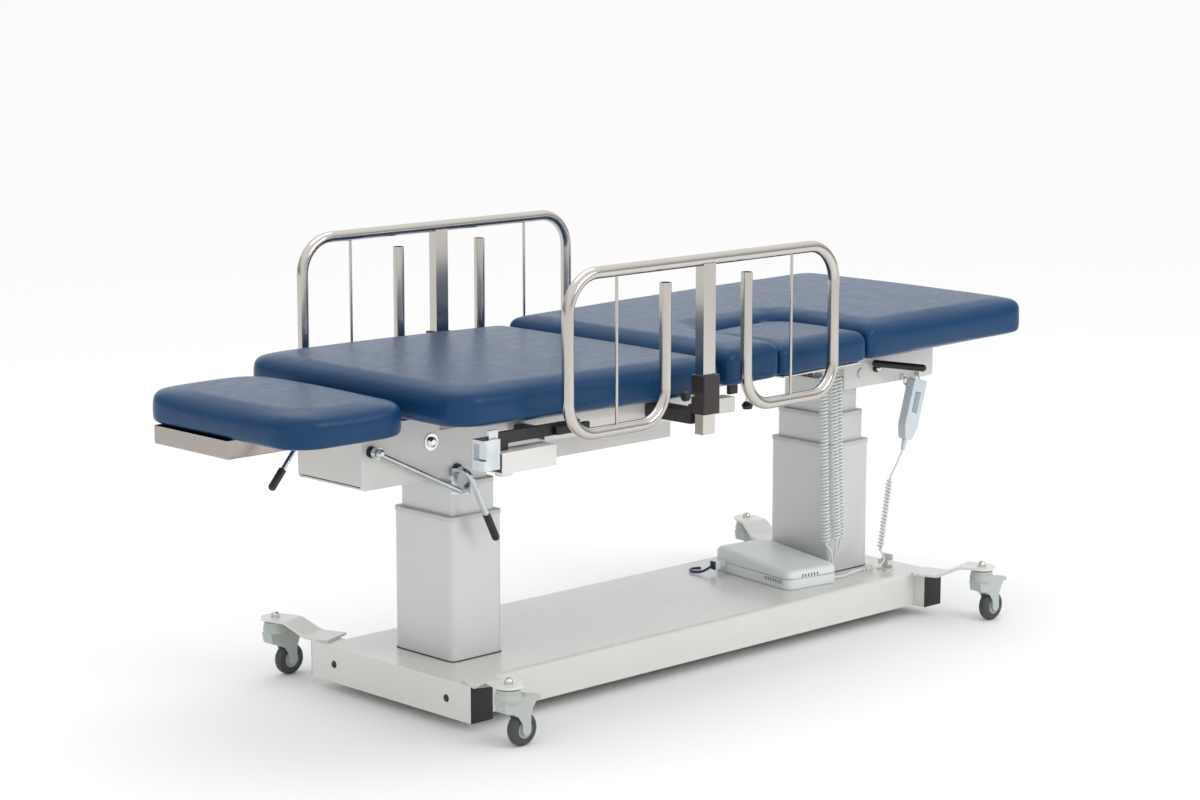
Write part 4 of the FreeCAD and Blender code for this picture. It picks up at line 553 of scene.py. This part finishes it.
def pleat(corner, reach, count, depth, low_z, high_z):
    """Folds of the cover where it is pulled round an upright corner."""
    center = Vector(corner)

    def crease(vertex):
        flat = Vector((vertex.co.x - center.x, vertex.co.y - center.y))
        near = math.exp(-((flat.length / reach) ** 2))
        if near < 0.02:
            return
        height = (vertex.co.z - low_z) / (high_z - low_z)
        if not 0 < height < 1:
            return
        angle = math.atan2(flat.y, flat.x)
        fold = max(0.0, math.cos(angle * count + 3.0 * height)) ** 6
        outward = flat / max(flat.length, 1e-6)
        pull = depth * near * fold * math.sin(math.pi * height)
        vertex.co.x -= outward.x * pull
        vertex.co.y -= outward.y * pull

    return crease


def dent(center, reach, depth, direction):
    """Soft hollow in the cover."""
    middle = Vector(center)
    way = Vector(direction).normalized()
    size = Vector(reach)

    def crease(vertex):
        away = vertex.co - middle
        far = (away.x / size.x) ** 2 + (away.y / size.y) ** 2 + (away.z / size.z) ** 2
        if far < 6:
            vertex.co += way * depth * math.exp(-far)

    return crease


def add_cushions():
    """The four pads. The seat's near side has two hollows, and the back's near corners are pleated."""
    pad_from("foot_pad", "foot_section", voxel=0.005, rounds=26, cap=0.006, crown=0.004)
    pad_from("seat_pad", "frame", voxel=0.007, rounds=14, cap=0.007, crown=0.006, creases=[
        dent((-0.52, -0.381, 0.75), reach=(0.05, 0.02, 0.02), depth=0.002, direction=(0, 1, 0.2)),
        dent((-0.44, -0.381, 0.745), reach=(0.04, 0.02, 0.016), depth=0.0016, direction=(0, 1, 0)),
    ])
    pad_from("back_pad", "back", voxel=0.007, rounds=12, cap=0.007, crown=0.005,
             creases=[pleat((x, PAD_EDGE_Y, 0), reach=0.05, count=9, depth=0.002, low_z=0.70, high_z=0.79)
                      for x in PLEAT_X])
    pad_from("window_pad", "window", voxel=0.005, rounds=20, cap=0.004, crown=0.003)


# Cords


def route_curve(name, points):
    curve = bpy.data.curves.new(name, "CURVE")
    curve.dimensions = "3D"
    curve.resolution_u = 12
    spline = curve.splines.new("NURBS")
    spline.points.add(len(points) - 1)
    for place, point in zip(spline.points, points):
        place.co = (point[0], point[1], point[2], 1.0)
    spline.order_u = 3 if len(points) > 2 else 2
    spline.use_endpoint_u = True
    return curve


def line_samples(curve):
    """Points along the smooth line of a curve that has no bevel."""
    probe = link(bpy.data.objects.new("probe", curve))
    mesh = evaluated_mesh(probe)
    samples = [v.co.copy() for v in mesh.vertices]
    bpy.data.objects.remove(probe)
    bpy.data.meshes.remove(mesh)
    return samples


def along(samples, distance):
    """Point and direction at a distance along a line of samples."""
    for a, b in zip(samples, samples[1:]):
        step = (b - a).length
        if distance <= step and step > 0:
            return a + (b - a) * (distance / step), (b - a).normalized()
        distance -= step
    return samples[-1].copy(), (samples[-1] - samples[-2]).normalized()


def line_length(samples):
    return sum((b - a).length for a, b in zip(samples, samples[1:]))


def helix_points(samples, radius, pitch):
    """Turns wound round a line, the first and last opening out from the line itself."""
    total = line_length(samples)
    turns = max(2, round(total / pitch))
    count = turns * TURN_POINTS
    side = Vector((0, 1, 0))
    points = []
    for i in range(count + 1):
        share = i / count
        center, direction = along(samples, total * share)
        across = (side - direction * side.dot(direction)).normalized()
        third = direction.cross(across)
        turns_from_end = min(share, 1 - share) * turns
        size = radius * min(1.0, turns_from_end)
        angle = 2 * math.pi * turns * share
        points.append(center + across * (size * math.cos(angle)) + third * (size * math.sin(angle)))
    return points


def cord_piece(name, stretches, wire_radius, material):
    """One cord through its stretches in turn; each is plain, or wound to a curl's radius and pitch."""
    points = []
    for route, curl_radius, pitch in stretches:
        if curl_radius:
            more = helix_points(line_samples(route_curve("route", route)), curl_radius - wire_radius, pitch)
        else:
            more = [Vector(p) for p in route]
        if points and (points[-1] - more[0]).length < 1e-5:
            more = more[1:]
        points.extend(more)
    curve = route_curve(name, points)
    curve.resolution_u = 3
    curve.bevel_depth = wire_radius
    curve.bevel_resolution = 4
    curve.use_fill_caps = True
    curve.materials.append(materials[material])
    return link(bpy.data.objects.new(name, curve))


def center_line(obj):
    """Points along a cord's own smooth line."""
    plain = obj.data.copy()
    plain.bevel_depth = 0.0
    return line_samples(plain)


def as_mesh(obj):
    """The same cord as a mesh tube."""
    mesh = evaluated_mesh(obj)
    name = obj.name
    bpy.data.objects.remove(obj)
    mesh.materials.clear()
    tube = link(bpy.data.objects.new(name, mesh))
    for polygon in mesh.polygons:
        polygon.use_smooth = True
    return tube


def bending_cord(name, stretches, wire_radius, material, node):
    """A hanging cord as a mesh tube that stands for a frame node, which it hides."""
    piece = cord_piece(name, stretches, wire_radius, material)
    line = center_line(piece)
    piece = as_mesh(piece)
    piece.data.materials.append(materials[material])
    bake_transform(piece)
    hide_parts(node)


# Each motor cord's curl from the top down, and its plain tail from there into the box.
# A short plain lead goes straight up from the curl's first point
MOTOR_CORDS = [
    ([(0.634, -0.138, 0.637), (0.636, -0.140, 0.430), (0.649, -0.140, 0.203)],
     [(0.672, -0.142, 0.178), (0.678, -0.136, 0.128), (0.6588, -0.130, 0.124)]),
    ([(0.660, -0.146, 0.637), (0.664, -0.149, 0.430), (0.679, -0.148, 0.206)],
     [(0.690, -0.136, 0.164), (0.690, -0.114, 0.124), (0.6622, -0.106, 0.124)]),
    ([(0.686, -0.138, 0.637), (0.690, -0.140, 0.430), (0.707, -0.138, 0.206)],
     [(0.703, -0.130, 0.160), (0.693, -0.096, 0.124), (0.6654, -0.084, 0.124)]),
]

# From the handset down to the clip and along the tray into the box, with a long and a short curl.
# Each stretch is its route, then the curl's outer radius and the pitch of its turns, 0 where it is plain
HANDSET_LEAD = [
    ([(0.9116, -0.164, 0.4118), (0.902, -0.158, 0.384), (0.881, -0.150, 0.343)], 0, 0),
    ([(0.881, -0.150, 0.343), (0.847, -0.150, 0.159)], 0.0092, 0.0088),
    ([(0.847, -0.150, 0.159), (0.850, -0.164, 0.140), (0.838, -0.168, 0.128), (0.812, -0.164, 0.122)], 0, 0),
    ([(0.812, -0.164, 0.122), (0.772, -0.156, 0.122)], 0.0095, 0.0085),
    ([(0.772, -0.156, 0.122), (0.730, -0.152, 0.118), (0.690, -0.162, 0.116), (0.6552, -0.158, 0.120)], 0, 0),
]

MAINS_LEAD = [(0.4865, 0.1036, 0.1318), (0.462, 0.112, 0.116), (0.452, 0.146, 0.116), (0.478, 0.172, 0.116),
              (0.504, 0.160, 0.1146)]


def add_cords():
    for index, (curl, tail) in enumerate(MOTOR_CORDS, start=1):
        x, y, _ = curl[0]
        top = [(x, y, MOTOR_CORD_TOP_Z), curl[0]]
        stretches = [(top, 0, 0), (curl, MOTOR_CURL, MOTOR_PITCH), ([curl[-1]] + tail, 0, 0)]
        bending_cord("motor_cord_%d" % index, stretches, MOTOR_WIRE, "cord", "motor_cords")
    bending_cord("handset_lead", HANDSET_LEAD, LEAD_WIRE, "lead", "handset_cord")
    mains = cord_piece("mains_lead", [(MAINS_LEAD, 0, 0)], MAINS_WIRE, "blue")
    length = line_length(center_line(mains))
    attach(mains, "base")
    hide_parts("mains_cord")


# Stage and light


def add_stage():
    mesh = bpy.data.meshes.new("floor")
    half = 90.0
    mesh.from_pydata([(-half, -half, 0), (half, -half, 0), (half, half, 0), (-half, half, 0)], [], [(0, 1, 2, 3)])
    floor = link(bpy.data.objects.new("floor", mesh))
    material, _, shader = new_material("pale_floor")
    shader.inputs["Base Color"].default_value = (0.93, 0.93, 0.93, 1)
    shader.inputs["Roughness"].default_value = 0.9
    shader.inputs["Specular IOR Level"].default_value = 0.0
    floor.data.materials.append(material)


def area_light(name, place, target, size, power):
    data = bpy.data.lights.new(name, "AREA")
    data.shape = "RECTANGLE"
    data.size, data.size_y = size
    data.energy = power
    light = link(bpy.data.objects.new(name, data))
    light.location = place
    light.rotation_euler = (Vector(target) - Vector(place)).to_track_quat("-Z", "Y").to_euler()


def add_world():
    """Soft white room: brightest overhead and in front, dimmer low down to the left and right."""
    world = bpy.data.worlds.new("world")
    world.use_nodes = True
    tree = world.node_tree
    background = tree.nodes["Background"]
    coords = tree.nodes.new("ShaderNodeTexCoord")
    parts = tree.nodes.new("ShaderNodeSeparateXYZ")
    tree.links.new(coords.outputs["Generated"], parts.inputs["Vector"])
    across = tree.nodes.new("ShaderNodeVectorMath")
    across.operation = "DOT_PRODUCT"
    across.inputs[1].default_value = CAMERA_RIGHT
    tree.links.new(coords.outputs["Generated"], across.inputs[0])
    sideways = tree.nodes.new("ShaderNodeMath")
    sideways.operation = "ABSOLUTE"
    tree.links.new(across.outputs["Value"], sideways.inputs[0])
    low = ramp(tree, sideways.outputs["Value"],
               [(0.0, grey(0.86)), (0.5, grey(0.74)), (0.8, grey(0.28)), (1.0, grey(0.20))])
    height = ramp(tree, parts.outputs["Z"], [(0.0, grey(0.0)), (0.7, grey(1.0))])
    mix = tree.nodes.new("ShaderNodeMix")
    mix.data_type = "RGBA"
    factor, low_color, high_color = mix.inputs[0], mix.inputs[6], mix.inputs[7]
    tree.links.new(height, factor)
    tree.links.new(low, low_color)
    high_color.default_value = (1.0, 1.0, 1.0, 1.0)
    tree.links.new(mix.outputs[2], background.inputs["Color"])
    background.inputs["Strength"].default_value = 1.12
    bpy.context.scene.world = world


def add_light():
    add_world()
    area_light("top", (0.0, 0.4, 4.0), (0, 0, 0.7), (3.2, 2.4), 22)
    area_light("front", (1.4, -4.8, 2.6), (0.2, 0, 0.5), (2.4, 1.4), 60)


add_camera()
dress_frame()
smooth_frame()
add_cords()
control_box_lid()
lid_vent_shade()
column_gaskets()
add_cushions()
add_stage()
add_light()
bpy.context.scene.view_settings.view_transform = "Standard"
bpy.context.view_layer.update()
